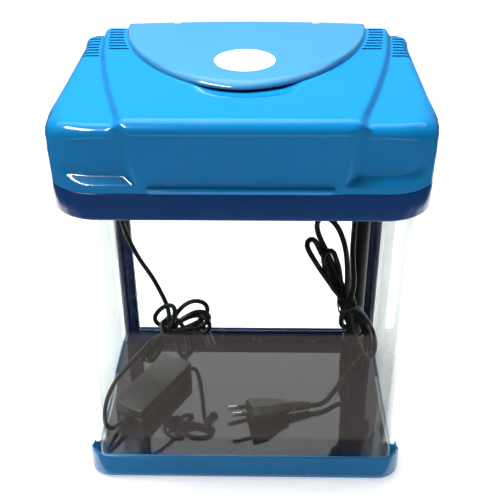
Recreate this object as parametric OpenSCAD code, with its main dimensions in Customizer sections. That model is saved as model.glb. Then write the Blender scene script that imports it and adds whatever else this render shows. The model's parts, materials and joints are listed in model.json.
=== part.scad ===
// Small desktop aquarium with a bent-glass body, a moulded hood with a lamp and a feeding
// hatch, a top-hung pump filter with a riser tube, and two bundled leads lying in the tank.
// Origin: centre of the base on the table. X to the right, Y to the back, Z up.

/* [Glass body] */
// Outer width of the glass
tank_w = 270; // [268:1:272]
// Outer depth of the glass
tank_d = 190; // [189:1:191]
// Outside radius of the bent front corners
front_r = 31; // [28:1:34]
// Outside radius of the back corners
back_r = 6; // [4:1:8]
// Thickness of the glass walls
glass_t = 3; // [2.5:0.5:3.5]
// Height of the inside floor above the table
floor_z = 10; // [9:0.5:11]

/* [Base] */
// How far the base stands out in front of the glass
base_margin = 4; // [3:0.5:5]
// How far the base stands out beside the glass
base_side = 2; // [1.5:0.5:3]
// Outside radius of the base's front corners
base_front_r = 21; // [18:1:24]
// Height of the base's front rim above the table
base_top = 25.4; // [22:0.2:28]
// Height of the base's rim along its sides and back
base_side_top = 12.4; // [11:0.2:16]
// Radius of a rubber foot
foot_r = 8; // [6:0.5:10]

/* [Collar] */
// How far the collar and hood stand out round the glass
collar_margin = 5.5; // [5:0.5:6]
// Lower edge of the collar
collar_z0 = 257; // [255:1:259]
// Parting line of the collar and the hood
collar_z1 = 279; // [278:1:280]

/* [Hood] */
// Wall thickness of the hood
hood_t = 2.5; // [2:0.25:3]
// Height of the side wings' top, at the front
wing_top = 327; // [325:1:329]
// Height of the raised centre panel's top, at the front
panel_top = 333; // [332:1:335]
// Rise of the top towards the back, in degrees
top_slope = 2.86; // [2:0.1:3]
// Radius of the rounded shoulders along the sides
shoulder_r = 14; // [10:1:16]
// Half width of the centre panel at the front
panel_front = 78; // [74:1:82]
// Half width of the centre panel at the back
panel_back = 121.5; // [119:0.5:123]

/* [Feeding hatch] */
// Half width of the hatch at its back edge
hatch_half_w = 103; // [100:1:104]
// Distance from the hatch's back edge to its front
hatch_l = 142; // [138:1:143]
// Height of the hatch above the panel
hatch_h = 4; // [3:0.5:5]
// Diameter of the round label
label_d = 47; // [40:1:50]

/* [Filter] */
// Centre of the riser tube, left to right
riser_x = 106.5; // [106:0.5:107]
// Centre of the riser tube, front to back
riser_y = 49; // [48:0.5:50]
// Outside radius of the riser tube
riser_r = 8; // [7:0.5:8]
// Outside radius of the strainer
strainer_r = 11.7; // [11:0.1:12]
// Top of the strainer
strainer_top = 45; // [42:1:50]

/* [Leads] */
// Diameter of the lamp's lead
lamp_d = 4.5; // [4:0.5:5]
// Diameter of the pump's lead
pump_d = 5; // [4.5:0.5:5.5]

/* [Hidden] */
$fn = 48;

shell_blue = [0.05, 0.42, 0.74];
post_blue = [0.03, 0.12, 0.28];
glass_tint = [0.8, 0.9, 0.9, 0.35];
black = [0.08, 0.08, 0.08];

collar_w = tank_w + 2 * collar_margin;
collar_d = tank_d + 2 * collar_margin;
collar_rf = front_r + collar_margin;
collar_rb = back_r + collar_margin;
back_y = collar_d / 2;
tray_z0 = 1.5;
foot_h = 3;
floor_t = 5;
glass_z0 = floor_z - floor_t;
glass_z1 = collar_z0 + 5;
ledge_z0 = glass_z1 + 0.3;
ledge_z1 = ledge_z0 + 5.7;
hood_z0 = collar_z1 + 0.4;
slope_y = -80;

// Hinge of the hood, behind the parting line
hinge_y = back_y + 0.5;
hinge_z = collar_z1;
knuckle_r = 4;
pin_r = 1.5;
run_gap = 0.06;
hinge_x = 80;

// Hinge of the hatch, along its back edge
hatch_y = 98.3;
hatch_pin_r = 1;
hatch_rod_r = 1.7;
hatch_lug_x = 60;
hatch_power = 1.8;
hatch_gap = 0.25;
hatch_axis_z = panel_top + tan(top_slope) * (hatch_y - slope_y) + hatch_gap + 1.9;

// Louvres beside the hatch and on the wings
vent_y = 44;
vent_pitch = 7;

// Filter
box_x0 = 64;
box_x1 = 127;
box_y0 = 20;
box_y1 = 83;
box_z0 = 214;
box_z1 = 296;
box_t = 2;
volute_z0 = box_z0 + box_t;
motor_z0 = 228;
motor_z1 = 262;
motor_r = 18;
shaft_r = 1;
knob_x = 76;
knob_y = 74.5;
gland_x = 97;
gland_y = 27;

// In-line lamp driver, lying askew on the floor at the left
driver_at = [-89.5, -2.5, floor_z];
driver_yaw = 61.5;
driver_l = 84;
driver_w = 33;
driver_h = 20;
relief_l = 10;

// Plug, lying on the floor with its pins to the left
plug_face = [3.5, -33.5, 21.9];
plug_yaw = 14;
plug_pitch = 6;
plug_roll = -22;
plug_l = 37;
plug_tail = 60;
pin_gap = 18.6;
prong_r = 2;
prong_l = 19;

// Plane of the lamp lead's bundle
bundle_at = [-75, 25, 75];
bundle_tilt = -20;

// Routes of the leads, from the object outwards
lamp_upper_route = [
  [-124.5, 62, 261], [-124.3, 62, 248], [-123, 61.5, 225], [-120.5, 60.5, 195], [-117.5, 59, 170],
  [-111, 54, 152], [-102, 48, 136], [-90, 41, 120], [-81, 35, 104], [-76, 31, 93]
];
lamp_lower_route = [
  [-86, 22, 67], [-94, 21.5, 58], [-102, 19, 50], [-112, 6, 44], [-119, -6, 41], [-124, -16, 40],
  [-128, -30, 38], [-129.5, -41, 36], [-129.5, -51, 32.5], [-128, -58.5, 28],
  [-124, -61.5, 23.5], [-119, -57, 20.8], [-115.3, -50, 20]
];
tail_route = [
  [-63.7, 45, 20], [-60.5, 51, 20.3], [-56.5, 57, 23.5], [-53, 60, 33], [-50.5, 57, 47],
  [-48, 48, 64], [-46.5, 40, 73], [-44, 32, 75], [-41.5, 26.5, 71.5]
];
pump_upper_route = [
  [gland_x, gland_y, 194], [97, 26.5, 186], [96.5, 23.5, 175], [96, 18.5, 162],
  [97, 14, 148], [98.5, 12, 136], [98, 11, 124]
];
pump_lower_route = [
  [110, 11, 46.5], [105.5, 11, 41.5], [101, 10.5, 35.5], [96, 8.5, 28], [90.5, 3.5, 23],
  [84, -4.5, 19.5], [77.5, -12.5, 17], [70, -18, 15.6], [61.9, -19.1, 15.7]
];
inner_route = [
  [-111, 95, 282], [-110, 95, 296], [-108, 93, 312], [-104, 84, 322], [-98, 60, 322.5],
  [-92, 20, 320], [-86, -20, 317], [-80, -38, 312], [-76, -46.5, 308]
];

// ---------- shared shapes ----------

module plan(w, d, rf, rb) {
  translate([-w / 2, -d / 2 + rf]) square([w, d - rf - rb]);
  translate([-w / 2 + rf, -d / 2]) square([w - 2 * rf, rf + 1]);
  translate([-w / 2 + rb, d / 2 - rb - 1]) square([w - 2 * rb, rb + 1]);
  for (s = [-1, 1]) {
    translate([s * (w / 2 - rf), -d / 2 + rf]) circle(rf);
    translate([s * (w / 2 - rb), d / 2 - rb]) circle(rb);
  }
}

module tank_plan(grow) {
  plan(tank_w + 2 * grow, tank_d + 2 * grow, front_r + grow, max(back_r + grow, 1));
}

module slab(z0, z1) {
  translate([0, 0, z0]) linear_extrude(z1 - z0) children();
}

module block(low, high) {
  translate(low) cube(high - low);
}

module rod_x(at, r, l) {
  translate(at) rotate([0, 90, 0]) cylinder(r = r, h = l, center = true);
}

function arc(at, r, a0, a1, n) =
  [for (i = [0:n]) let (a = a0 + (a1 - a0) * i / n) at + r * [cos(a), sin(a)]];
function unit(v) = v / norm(v);
function spline(p, i, t) =
  let (a = p[max(i - 1, 0)], b = p[i], c = p[i + 1], d = p[min(i + 2, len(p) - 1)])
  (2 * b + (c - a) * t + (2 * a - 5 * b + 4 * c - d) * t * t
    + (3 * b - a - 3 * c + d) * t * t * t) / 2;
function smooth(p) =
  concat([for (i = [0:len(p) - 2]) for (t = [0, 0.5]) spline(p, i, t)], [p[len(p) - 1]]);

module cord(route, d, ref) {
  sides = 8;
  path = smooth(route);
  last = len(path) - 1;
  points = [
    for (i = [0:last])
      let (t = unit(path[min(i + 1, last)] - path[max(i - 1, 0)]))
      let (s = unit(cross(t, ref)), u = cross(s, t))
      for (j = [0:sides - 1]) path[i] + d / 2 * (s * cos(45 * j) + u * sin(45 * j))
  ];
  skin = [
    for (i = [0:last - 1]) for (j = [0:sides - 1])
      let (k = (j + 1) % sides)
      [i * sides + j, i * sides + k, (i + 1) * sides + k, (i + 1) * sides + j]
  ];
  ends = [
    [for (j = [sides - 1:-1:0]) j],
    [for (j = [0:sides - 1]) last * sides + j]
  ];
  polyhedron(points, concat(skin, ends));
}

// ---------- glass body and base ----------

module foot_places() {
  for (x = [-112, 112]) for (y = [-72, 72]) translate([x, y, 0]) children();
}

module base_tray() {
  color(shell_blue) difference() {
    slab(tray_z0, base_top)
      plan(tank_w + 2 * base_side, tank_d + 2 * base_margin, base_front_r, back_r + 2);
    slab(glass_z0, base_top + 1)
      plan(tank_w + 0.8, tank_d + 2.4, base_front_r - 1.6, back_r + 0.4);
    translate([-tank_w, 0, 0]) rotate([90, 0, 90]) linear_extrude(2 * tank_w)
      polygon([
        [-90, base_top + 0.01], [-80, base_side_top * 0.3 + base_top * 0.7],
        [-72, base_side_top * 0.76 + base_top * 0.24], [-64, base_side_top],
        [tank_d, base_side_top], [tank_d, base_top + 10], [-90, base_top + 10]
      ]);
    foot_places() cylinder(r = foot_r + 0.2, h = foot_h);
  }
}

module base_feet() {
  color(black) foot_places() cylinder(r = foot_r, h = foot_h);
}

module floor_pane() {
  color(glass_tint) slab(glass_z0, floor_z) tank_plan(-glass_t - 0.3);
}

module bent_pane() {
  color(glass_tint) slab(glass_z0, glass_z1) difference() {
    tank_plan(0);
    tank_plan(-glass_t);
    translate([-tank_w, tank_d / 2 - 9]) square([2 * tank_w, 20]);
  }
}

module rear_pane() {
  color(glass_tint) block([-119.5, 88.9, floor_z + 2.2], [119.5, 91.9, glass_z1]);
}

module corner_post(side) {
  color(post_blue) mirror([side < 0 ? 1 : 0, 0, 0]) slab(floor_z + 0.1, glass_z1) difference() {
    union() {
      translate([116.2, 86.3]) square([12.3, 5.9]);
      translate([116.2, 86.3]) square([9, 8.2]);
      translate([125.2, 84]) square([3.3, 8.2]);
    }
    translate([115.7, 88.7]) square([4.2, 3.4]);
  }
}
module corner_post_left() { corner_post(-1); }
module corner_post_right() { corner_post(1); }

module rear_rail() {
  color(post_blue) difference() {
    block([-115.9, 86.3, floor_z + 0.1], [115.9, 94.3, 24.6]);
    block([-116.5, 88.7, floor_z + 2], [116.5, 92.1, 30]);
  }
}

module corner_seals() {
  color([0.8, 0.82, 0.82]) for (s = [0, 1]) mirror([s, 0, 0])
    block([128.8, 84.4, floor_z + 0.1], [131.7, 91.6, glass_z1]);
}

module floor_seal() {
  color([0.8, 0.82, 0.82]) slab(floor_z, floor_z + 2.2) difference() {
    tank_plan(-glass_t);
    tank_plan(-glass_t - 2);
    translate([-tank_w, 77.5]) square([2 * tank_w, 30]);
  }
}

// ---------- collar ----------

module hinge_pairs() {
  for (x = [-hinge_x, hinge_x]) translate([x, 0, 0]) children();
}

module collar_knuckles() {
  hinge_pairs() for (x = [-10.5, 10.5]) {
    rod_x([x, hinge_y, hinge_z], knuckle_r, 9.6);
    block([x - 4.8, back_y - 1, hinge_z - 12], [x + 4.8, hinge_y + knuckle_r, hinge_z]);
  }
}

module collar() {
  color(shell_blue) difference() {
    union() {
      slab(collar_z0, collar_z1) plan(collar_w, collar_d, collar_rf, collar_rb);
      collar_knuckles();
    }
    slab(collar_z0 - 1, ledge_z0) tank_plan(0.3);
    slab(ledge_z0 - 1, collar_z1 + 1) plan(234, 156, 20, 6);
    slab(ledge_z1, collar_z1 + 8)
      plan(collar_w - 6, collar_d - 6, collar_rf - 3, collar_rb - 3);
    block([box_x0 - 0.7, 16, ledge_z0 - 1], [box_x1 + 0.7, box_y1 + 1, ledge_z1 + 1]);
    translate([-124.5, 62, ledge_z0 - 1]) cylinder(r = 4.2, h = 8);
    hinge_pairs() {
      rod_x([0, hinge_y, hinge_z], knuckle_r + 0.3, 11.4);
      rod_x([0, hinge_y, hinge_z], pin_r, 40);
    }
  }
}

module hood_hinge_pins() {
  color("silver") hinge_pairs() rod_x([0, hinge_y, hinge_z], pin_r, 30.6);
}

module lamp_grommet() {
  color(black) translate([-124.5, 62, 0]) rotate_extrude() {
    translate([lamp_d / 2, ledge_z0 - 1.3]) square([6.1 - lamp_d / 2, 1.3]);
    translate([lamp_d / 2, ledge_z0]) square([4.1 - lamp_d / 2, ledge_z1 - ledge_z0]);
    translate([lamp_d / 2, ledge_z1]) square([6.1 - lamp_d / 2, 1.3]);
  }
}

// ---------- filter ----------

module filter_box() {
  color([0.16, 0.16, 0.17]) difference() {
    union() {
      block([box_x0, box_y0, box_z0], [box_x1, box_y1, box_z1]);
      block([box_x0 + 40, box_y0, ledge_z1], [136, box_y1 + 9, ledge_z1 + 2]);
    }
    block([box_x0 + box_t, box_y0 + box_t, box_z0 + box_t],
          [box_x1 - box_t, box_y1 - box_t, box_z1 + 1]);
    translate([riser_x, riser_y, box_z0 - 1]) cylinder(r = riser_r + 0.3, h = 4);
    translate([gland_x, gland_y, box_z0 - 1]) cylinder(r = 3.6, h = 4);
    translate([box_x0 - 1, knob_y, 223]) rotate([0, 90, 0]) cylinder(r = 5.2, h = 4);
  }
}

module filter_box_cover() {
  color([0.16, 0.16, 0.17]) difference() {
    union() {
      block([box_x0 - 1, box_y0 - 1, box_z1], [box_x1 + 1, box_y1 + 1, box_z1 + 2.4]);
      block([box_x0 + box_t + 0.3, box_y0 + box_t + 0.3, box_z1 - 2],
            [box_x1 - box_t - 0.3, box_y1 - box_t - 0.3, box_z1]);
    }
    translate([knob_x, knob_y, box_z1 - 3]) cylinder(r = 2 + run_gap, h = 8);
  }
}

module filter_sponge() {
  color([0.15, 0.35, 0.6]) block([66.4, 22.5, volute_z0], [86.4, 47.8, 278]);
}

module carbon_cartridge() {
  color([0.9, 0.9, 0.88]) block([66.4, 48.2, volute_z0], [86.4, 65.6, 278]);
}

module pump_volute() {
  color([0.3, 0.3, 0.32]) translate([riser_x, riser_y, 0]) difference() {
    translate([0, 0, volute_z0]) cylinder(r = motor_r, h = motor_z0 - volute_z0);
    translate([0, 0, volute_z0 + 2.4]) cylinder(r = 15.2, h = 20);
    difference() {
      translate([0, 0, volute_z0 - 1]) cylinder(r = 6.4, h = 6);
      block([-7, -2.6, volute_z0], [7, 2.6, volute_z0 + 2.4]);
    }
    translate([0, 0, volute_z0 + 0.8]) cylinder(r = 1.6, h = 3);
    block([-19, -4, volute_z0 + 3], [-12, 4, motor_z0 - 2.5]);
  }
}

module volute_seal() {
  color("dimgray") translate([riser_x, riser_y, motor_z0]) rotate_extrude()
    translate([15.9, 0]) square([1.2, 0.8]);
}

module pump_motor() {
  color([0.12, 0.12, 0.13]) translate([riser_x, riser_y, 0]) difference() {
    translate([0, 0, motor_z0]) cylinder(r = motor_r, h = motor_z1 - motor_z0);
    translate([0, 0, motor_z0 - 1]) cylinder(r = 6.5, h = 26.5);
    translate([0, 0, motor_z0 + 25]) cylinder(r = 1.6, h = 2.5);
    translate([0, 0, motor_z0 - 1]) difference() {
      cylinder(r = 17.1, h = 1.8);
      translate([0, 0, -1]) cylinder(r = 15.9, h = 4);
    }
  }
}

module pump_shaft() {
  color("white") translate([riser_x, riser_y, volute_z0 + 1]) cylinder(r = shaft_r, h = 38);
}

module shaft_bushes() {
  color("dimgray") translate([riser_x, riser_y, 0])
    for (z = [volute_z0 + 0.8, motor_z0 + 25.5]) difference() {
      translate([0, 0, z]) cylinder(r = 1.6, h = 1.5);
      translate([0, 0, z - 1]) cylinder(r = shaft_r, h = 4);
    }
}

module impeller() {
  color("whitesmoke") translate([riser_x, riser_y, 0]) difference() {
    union() {
      translate([0, 0, 220]) cylinder(r = 3.4, h = 8.6);
      for (a = [0:60:300]) rotate([0, 0, a]) block([2, -0.7, 220.2], [12.6, 0.7, 226.4]);
    }
    translate([0, 0, 219]) cylinder(r = shaft_r + run_gap, h = 12);
  }
}

module impeller_magnet() {
  color([0.2, 0.2, 0.22]) translate([riser_x, riser_y, 0]) difference() {
    translate([0, 0, 228.6]) cylinder(r = 5.9, h = 22);
    translate([0, 0, 228]) cylinder(r = shaft_r + run_gap, h = 24);
  }
}

module flow_valve() {
  color([0.3, 0.3, 0.32]) translate([knob_x, knob_y, 0]) {
    translate([0, 0, 217]) cylinder(r = 2, h = box_z1 + 4.4 - 217);
    translate([0, 0, 217]) block([-5.2, -0.9, 0], [5.2, 0.9, 13]);
  }
}

module flow_knob() {
  color([0.1, 0.3, 0.6]) translate([knob_x, knob_y, box_z1 + 2.8]) difference() {
    union() {
      cylinder(r = 7.5, h = 7);
      block([-7.5, -1.2, 7], [7.5, 1.2, 9.5]);
    }
    translate([0, 0, -1]) cylinder(r = 2, h = 2.6);
  }
}

module outlet_spout() {
  color([0.16, 0.16, 0.17]) translate([box_x0, knob_y, 223]) rotate([0, -90, 0]) difference() {
    union() {
      translate([0, 0, -box_t]) cylinder(r = 5.1, h = 12);
      cylinder(r = 6.6, h = 1.6);
    }
    translate([0, 0, -box_t - 1]) cylinder(r = 3.9, h = 20);
  }
}

module riser_tube() {
  color(black) translate([riser_x, riser_y, strainer_top + 1]) difference() {
    cylinder(r = riser_r, h = volute_z0 - strainer_top - 1.2);
    translate([0, 0, -1]) cylinder(r = riser_r - 1.4, h = 200);
  }
}

module riser_adaptor() {
  color(black) translate([riser_x, riser_y, 0]) rotate_extrude() {
    translate([riser_r + 0.05, strainer_top + 1]) square([1.8, 7]);
    translate([riser_r - 3, strainer_top]) square([strainer_r - riser_r + 3, 1]);
  }
}

module strainer() {
  color(black) translate([riser_x, riser_y, 0]) difference() {
    translate([0, 0, floor_z + 4.4]) cylinder(r = strainer_r, h = strainer_top - floor_z - 4.4);
    translate([0, 0, floor_z]) cylinder(r = strainer_r - 1.8, h = 60);
    for (a = [0:30:150]) rotate([0, 0, a])
      block([-20, -1.1, floor_z + 8], [20, 1.1, strainer_top - 4]);
  }
}

module strainer_cap() {
  color(black) translate([riser_x, riser_y, floor_z + 0.1]) {
    cylinder(r = strainer_r + 0.6, h = 4.3);
    translate([0, 0, 4.3]) cylinder(r = strainer_r - 2, h = 2.5);
  }
}

module pump_gland() {
  color(black) translate([gland_x, gland_y, 0]) rotate_extrude() {
    polygon([
      [0, 194], [3.1, 194], [4.6, 207], [5.2, box_z0], [3.5, box_z0],
      [3.5, volute_z0], [5, volute_z0], [5, volute_z0 + 2.5], [0, volute_z0 + 2.5]
    ]);
  }
}

// ---------- hood ----------

function hatch_half(y) =
  hatch_half_w * pow(1 - pow((hatch_y - min(y, hatch_y)) / hatch_l, hatch_power),
                     1 / hatch_power);
function panel_half(y) =
  let (t = (y + back_y) / (2 * back_y))
  panel_front + (panel_back - panel_front) * (1 - pow(1 - t, 1.5));

module wing_side(inset) {
  r = shoulder_r - inset;
  x = collar_w / 2 - inset;
  translate([0, slope_y, wing_top - inset]) rotate([top_slope, 0, 0]) translate([0, 260, 0])
    rotate([90, 0, 0]) linear_extrude(400) polygon(concat(
      arc([x - r, -r], r, 0, 90, 8), arc([r - x, -r], r, 90, 180, 8),
      [[-x, -130], [x, -130]]));
}

module wing_front(inset) {
  front = -back_y + 5 + inset;
  r = 10 - inset;
  z = wing_top - 0.8 - inset;
  rotate([90, 0, 90]) translate([0, 0, -200]) linear_extrude(400) polygon(concat(
    [[-back_y + inset, 230], [-back_y + inset, 284.7 - inset], [front, 289.4 - inset]],
    arc([front + r, z - r], r, 180, 90 + top_slope, 6),
    arc([back_y - inset - 6, wing_top + 8.2 - inset - 6], 6, 90 + top_slope, 0, 6),
    [[back_y - inset, 230]]));
}

module wing_mass(inset) {
  intersection() {
    slab(hood_z0 - (inset > 0 ? 20 : 0), 350)
      plan(collar_w - 2 * inset, collar_d - 2 * inset, collar_rf - inset, collar_rb - inset);
    wing_side(inset);
    wing_front(inset);
  }
}

module panel_under(z) {
  intersection() {
    children();
    translate([0, slope_y, z]) rotate([top_slope, 0, 0]) translate([-200, -100, -120])
      cube([400, 320, 120]);
  }
}

module panel_mass(inset) {
  panel_under(panel_top - inset) union() {
    slab(300 - (inset > 0 ? 30 : 0), 350) polygon(concat(
      [for (y = [-90:19:81]) [-panel_half(y) + inset, y]],
      [[-panel_half(back_y) + inset, back_y - 1 - inset],
       [panel_half(back_y) - inset, back_y - 1 - inset]],
      [for (y = [81:-19:-90]) [panel_half(y) - inset, y]]));
    translate([0, -80, 0]) rotate([90, 0, 0]) linear_extrude(21 - inset) polygon([
      [-79 + inset, 350], [-70 + inset, hood_z0 + 1 - inset * 8],
      [70 - inset, hood_z0 + 1 - inset * 8], [79 - inset, 350]
    ]);
  }
}

module hatch_plan(scale_by, back) {
  n = 40;
  polygon([
    for (i = [0:n])
      let (a = 180 + 180 * i / n)
      let (c = cos(a), s = sin(a))
      [hatch_half_w * scale_by * sign(c) * pow(abs(c), 2 / hatch_power),
       back - hatch_l * scale_by * pow(abs(s), 2 / hatch_power)]
  ]);
}

// Children are drawn as if the panel's top were level at z = 0, and laid on its slope.
module on_top() {
  translate([0, slope_y, panel_top]) rotate([top_slope, 0, 0]) translate([0, -slope_y, 0])
    children();
}

module vents() {
  on_top() for (side = [0, 1], i = [0:7]) {
    y = vent_y + vent_pitch * i;
    mirror([side, 0, 0]) {
      block([panel_half(y) + 4, y, -20], [collar_w / 2 - 5, y + 3, 10]);
      block([hatch_half(y) + 3, y, -10], [panel_half(y) - 4, y + 3, 10]);
    }
  }
}

module hood_lug() {
  hinge_pairs() {
    rod_x([0, hinge_y, hinge_z], knuckle_r, 10.8);
    block([-5.4, back_y - 2.5, hinge_z], [5.4, hinge_y + 2.5, hinge_z + 8]);
  }
}

module hatch_lugs() {
  for (x = [-hatch_lug_x, hatch_lug_x]) {
    rod_x([x, hatch_y, hatch_axis_z], hatch_rod_r, 5);
    block([x - 2.5, hatch_y - hatch_rod_r, hatch_axis_z - 6],
          [x + 2.5, hatch_y + 1.2, hatch_axis_z]);
  }
}

module lamp_bosses() {
  for (x = [-84, 84]) for (y = [-79, -55]) translate([x, y, 314.2]) children();
}

module hood_shell() {
  color(shell_blue) difference() {
    union() {
      difference() {
        union() {
          wing_mass(0);
          panel_mass(0);
          block([-66, -105, 280.2], [66, -98, 283.4]);
          slab(hood_z0 - 7, hood_z0 + 4) difference() {
            plan(collar_w - 7, collar_d - 7, collar_rf - 3.5, collar_rb - 3.5);
            translate([-200, 70]) square([400, 100]);
          }
        }
        wing_mass(hood_t);
        slab(hood_z0 - 20, hood_z0 + 10)
          plan(collar_w - 11, collar_d - 11, collar_rf - 5.5, collar_rb - 5.5);
        panel_mass(hood_t);
      }
      intersection() {
        lamp_bosses() cylinder(r = 3.6, h = 30);
        panel_mass(1);
      }
      hood_lug();
      hatch_lugs();
    }
    slab(300, 360) intersection() {
      hatch_plan(0.86, 86);
      translate([-88, -60]) square([176, 146]);
    }
    vents();
    for (x = [-hatch_lug_x, hatch_lug_x]) rod_x([x, hatch_y, hatch_axis_z], hatch_pin_r + run_gap, 6);
    difference() {
      rod_x([0, hatch_y, hatch_axis_z], 2.5, 2 * hatch_half_w);
      for (x = [-hatch_lug_x, hatch_lug_x]) block([x - 2.5, 90, 330], [x + 2.5, 110, 350]);
    }
    hinge_pairs() {
      rod_x([0, hinge_y, hinge_z], pin_r + run_gap, 14);
      for (x = [-10.5, 10.5]) rod_x([x, hinge_y, hinge_z], knuckle_r + 0.4, 10.2);
    }
    lamp_bosses() translate([0, 0, -1]) cylinder(r = 1.1, h = 9);
  }
}

module lamp_housing() {
  color("white") difference() {
    block([-92, -87, 299], [92, -47, 314]);
    block([-89, -84, 298], [89, -50, 311]);
    lamp_bosses() translate([0, 0, -4]) cylinder(r = 1.5, h = 8);
  }
}

module lamp_board() {
  color([0.9, 0.95, 0.9]) block([-80, -82, 308.4], [80, -52, 310]);
}

module lamp_diodes() {
  color([1, 0.95, 0.6]) for (x = [-70:20:70]) for (y = [-75, -59])
    block([x - 2.5, y - 2.5, 306.8], [x + 2.5, y + 2.5, 308.4]);
}

module lamp_lens() {
  color([0.9, 0.95, 1, 0.5]) block([-88.8, -83.8, 299.4], [88.8, -50.2, 301.6]);
}

module lamp_screws() {
  color("silver") lamp_bosses() {
    translate([0, 0, -3.2]) cylinder(r = 1.1, h = 10);
    translate([0, 0, -5.2]) cylinder(r = 2.6, h = 2);
  }
}

module lamp_inner_lead() {
  color(black) cord(inner_route, 4, [1, 0, 0]);
}

// ---------- feeding hatch ----------

module feed_hatch() {
  color([0.35, 0.75, 0.88]) difference() {
    union() {
      intersection() {
        on_top() for (step = [0:3]) translate([0, 0, hatch_gap + step * hatch_h / 4])
          linear_extrude(hatch_h / 4) hatch_plan(1 - 0.028 * step, hatch_y + 0.5);
        block([-150, -60, 300], [150, hatch_y, 360]);
      }
      rod_x([0, hatch_y, hatch_axis_z], hatch_rod_r, 186);
    }
    for (x = [-hatch_lug_x, hatch_lug_x]) {
      block([x - 2.9, hatch_y - 2.3, 330], [x + 2.9, hatch_y + 4, 360]);
      rod_x([x, hatch_y, hatch_axis_z], hatch_pin_r, 16);
    }
  }
}

module hatch_label() {
  color("white") on_top()
    translate([1, 1, hatch_gap + hatch_h])
    cylinder(d = label_d, h = 0.3);
}

module hatch_pins() {
  color("silver") for (x = [-hatch_lug_x, hatch_lug_x])
    rod_x([x, hatch_y, hatch_axis_z], hatch_pin_r, 15.6);
}

// ---------- lamp driver and lamp lead ----------

module driver_frame() {
  translate(driver_at) rotate([0, 0, driver_yaw]) children();
}

module driver_half(z0, z1) {
  slab(z0, z1) {
    square([driver_l - 6, driver_w], center = true);
    square([driver_l, driver_w - 6], center = true);
    for (x = [-1, 1]) for (y = [-1, 1])
      translate([x * (driver_l / 2 - 3), y * (driver_w / 2 - 3)]) circle(3);
  }
}

module driver_hollow(z0, z1) {
  slab(z0, z1) square([driver_l - 5, driver_w - 5], center = true);
}

module driver_screw_places() {
  for (x = [-34, 34]) translate([x, 0, 0]) children();
}

module relief_seats() {
  for (s = [-1, 1]) translate([s * driver_l / 2, 0, driver_h / 2]) rotate([0, 90, 0])
    cylinder(r = 4, h = 8, center = true);
}

module driver_base() {
  color(black) driver_frame() difference() {
    driver_half(0.1, driver_h / 2);
    driver_hollow(2, driver_h);
    relief_seats();
    driver_screw_places() translate([0, 0, -1]) cylinder(r = 1.3, h = 5);
  }
}

module driver_cover() {
  color(black) driver_frame() difference() {
    union() {
      difference() {
        driver_half(driver_h / 2, driver_h);
        driver_hollow(driver_h / 2 - 1, driver_h - 2);
      }
      driver_screw_places() translate([0, 0, 4]) cylinder(r = 3, h = driver_h - 5);
    }
    relief_seats();
    driver_screw_places() translate([0, 0, 3]) cylinder(r = 1, h = 10);
  }
}

module driver_board() {
  color("green") driver_frame() {
    block([-28, -12, 5], [28, 12, 6.6]);
    block([-20, -8, 6.6], [-4, 8, 16]);
    block([6, -9, 6.6], [14, -1, 15]);
  }
}

module driver_screws() {
  color("silver") driver_frame() driver_screw_places() {
    translate([0, 0, 0.3]) cylinder(r = 1, h = 10);
  }
}

module relief(step) {
  color(black) driver_frame() translate([0, 0, driver_h / 2]) rotate([0, step * 90, 0])
    translate([0, 0, driver_l / 2]) {
      translate([0, 0, -4]) cylinder(r = 3.9, h = 4);
      cylinder(r = 5.2, h = 2);
      translate([0, 0, 2]) cylinder(r = 3.4, h = relief_l);
      for (z = [4:4:8]) translate([0, 0, z]) cylinder(r = 4.6 - z / 16, h = 2);
    }
}
module driver_front_relief() { relief(-1); }
module driver_back_relief() { relief(1); }

module tail_lead() {
  color(black) cord(tail_route, lamp_d, [1, 0, 0]);
}

module tail_socket() {
  color(black) translate([-41.5, 26.5, 71.5]) rotate([0, 0, -40]) rotate([0, 150, 0])
    difference() {
      union() {
        cylinder(r = 3.2, h = 5);
        translate([0, 0, 5]) cylinder(r = 4.6, h = 14);
      }
      translate([0, 0, 9]) cylinder(r = 2.8, h = 12);
    }
}

module lamp_lead_upper() {
  color(black) cord(lamp_upper_route, lamp_d, [0, 1, 0]);
}

module lamp_lead_lower() {
  color(black) cord(lamp_lower_route, lamp_d, [0, 0, 1]);
}

module lobe(r0, at, r1) {
  hull() {
    circle(r0, $fn = 24);
    translate(at) circle(r1, $fn = 24);
  }
}

module lamp_hank() {
  color(black) translate(bundle_at) rotate([bundle_tilt, 0, 0]) rotate([90, 0, 0])
    linear_extrude(14, center = true) {
      lobe(8, [31, 15], 11);
      lobe(8, [5, 20], 6);
      lobe(8, [-12, 6], 6);
      lobe(8, [-29, -33], 6);
      lobe(8, [14, -31], 6);
    }
}

// ---------- pump lead and plug ----------

module pump_lead_upper() {
  color(black) cord(pump_upper_route, pump_d, [0, 1, 0]);
}

module pump_lead_lower() {
  color(black) cord(pump_lower_route, pump_d, [0, 0, 1]);
}

module pump_hank() {
  color(black) translate([90, 11, 110]) rotate([90, 0, 0]) linear_extrude(15, center = true) {
    lobe(9, [-34, 69], 9);
    lobe(9, [-16, 84], 15);
    lobe(9, [26, -56], 10);
    lobe(9, [4, -27], 8);
  }
}

module pump_tie() {
  color("dimgray") translate([90, 11, 110]) rotate([0, -22, 0]) difference() {
    cube([22, 18.4, 2.6], center = true);
    cube([19.4, 15.4, 4], center = true);
  }
}

module plug_frame() {
  translate(plug_face) rotate([0, 0, plug_yaw]) rotate([0, plug_pitch, 0])
    rotate([plug_roll, 0, 0]) children();
}

module plug_section(w, t) {
  polygon([
    [-w / 2, 0], [-w * 0.34, t / 2], [w * 0.34, t / 2], [w / 2, 0], [w * 0.34, -t / 2],
    [-w * 0.34, -t / 2]
  ]);
}

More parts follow.
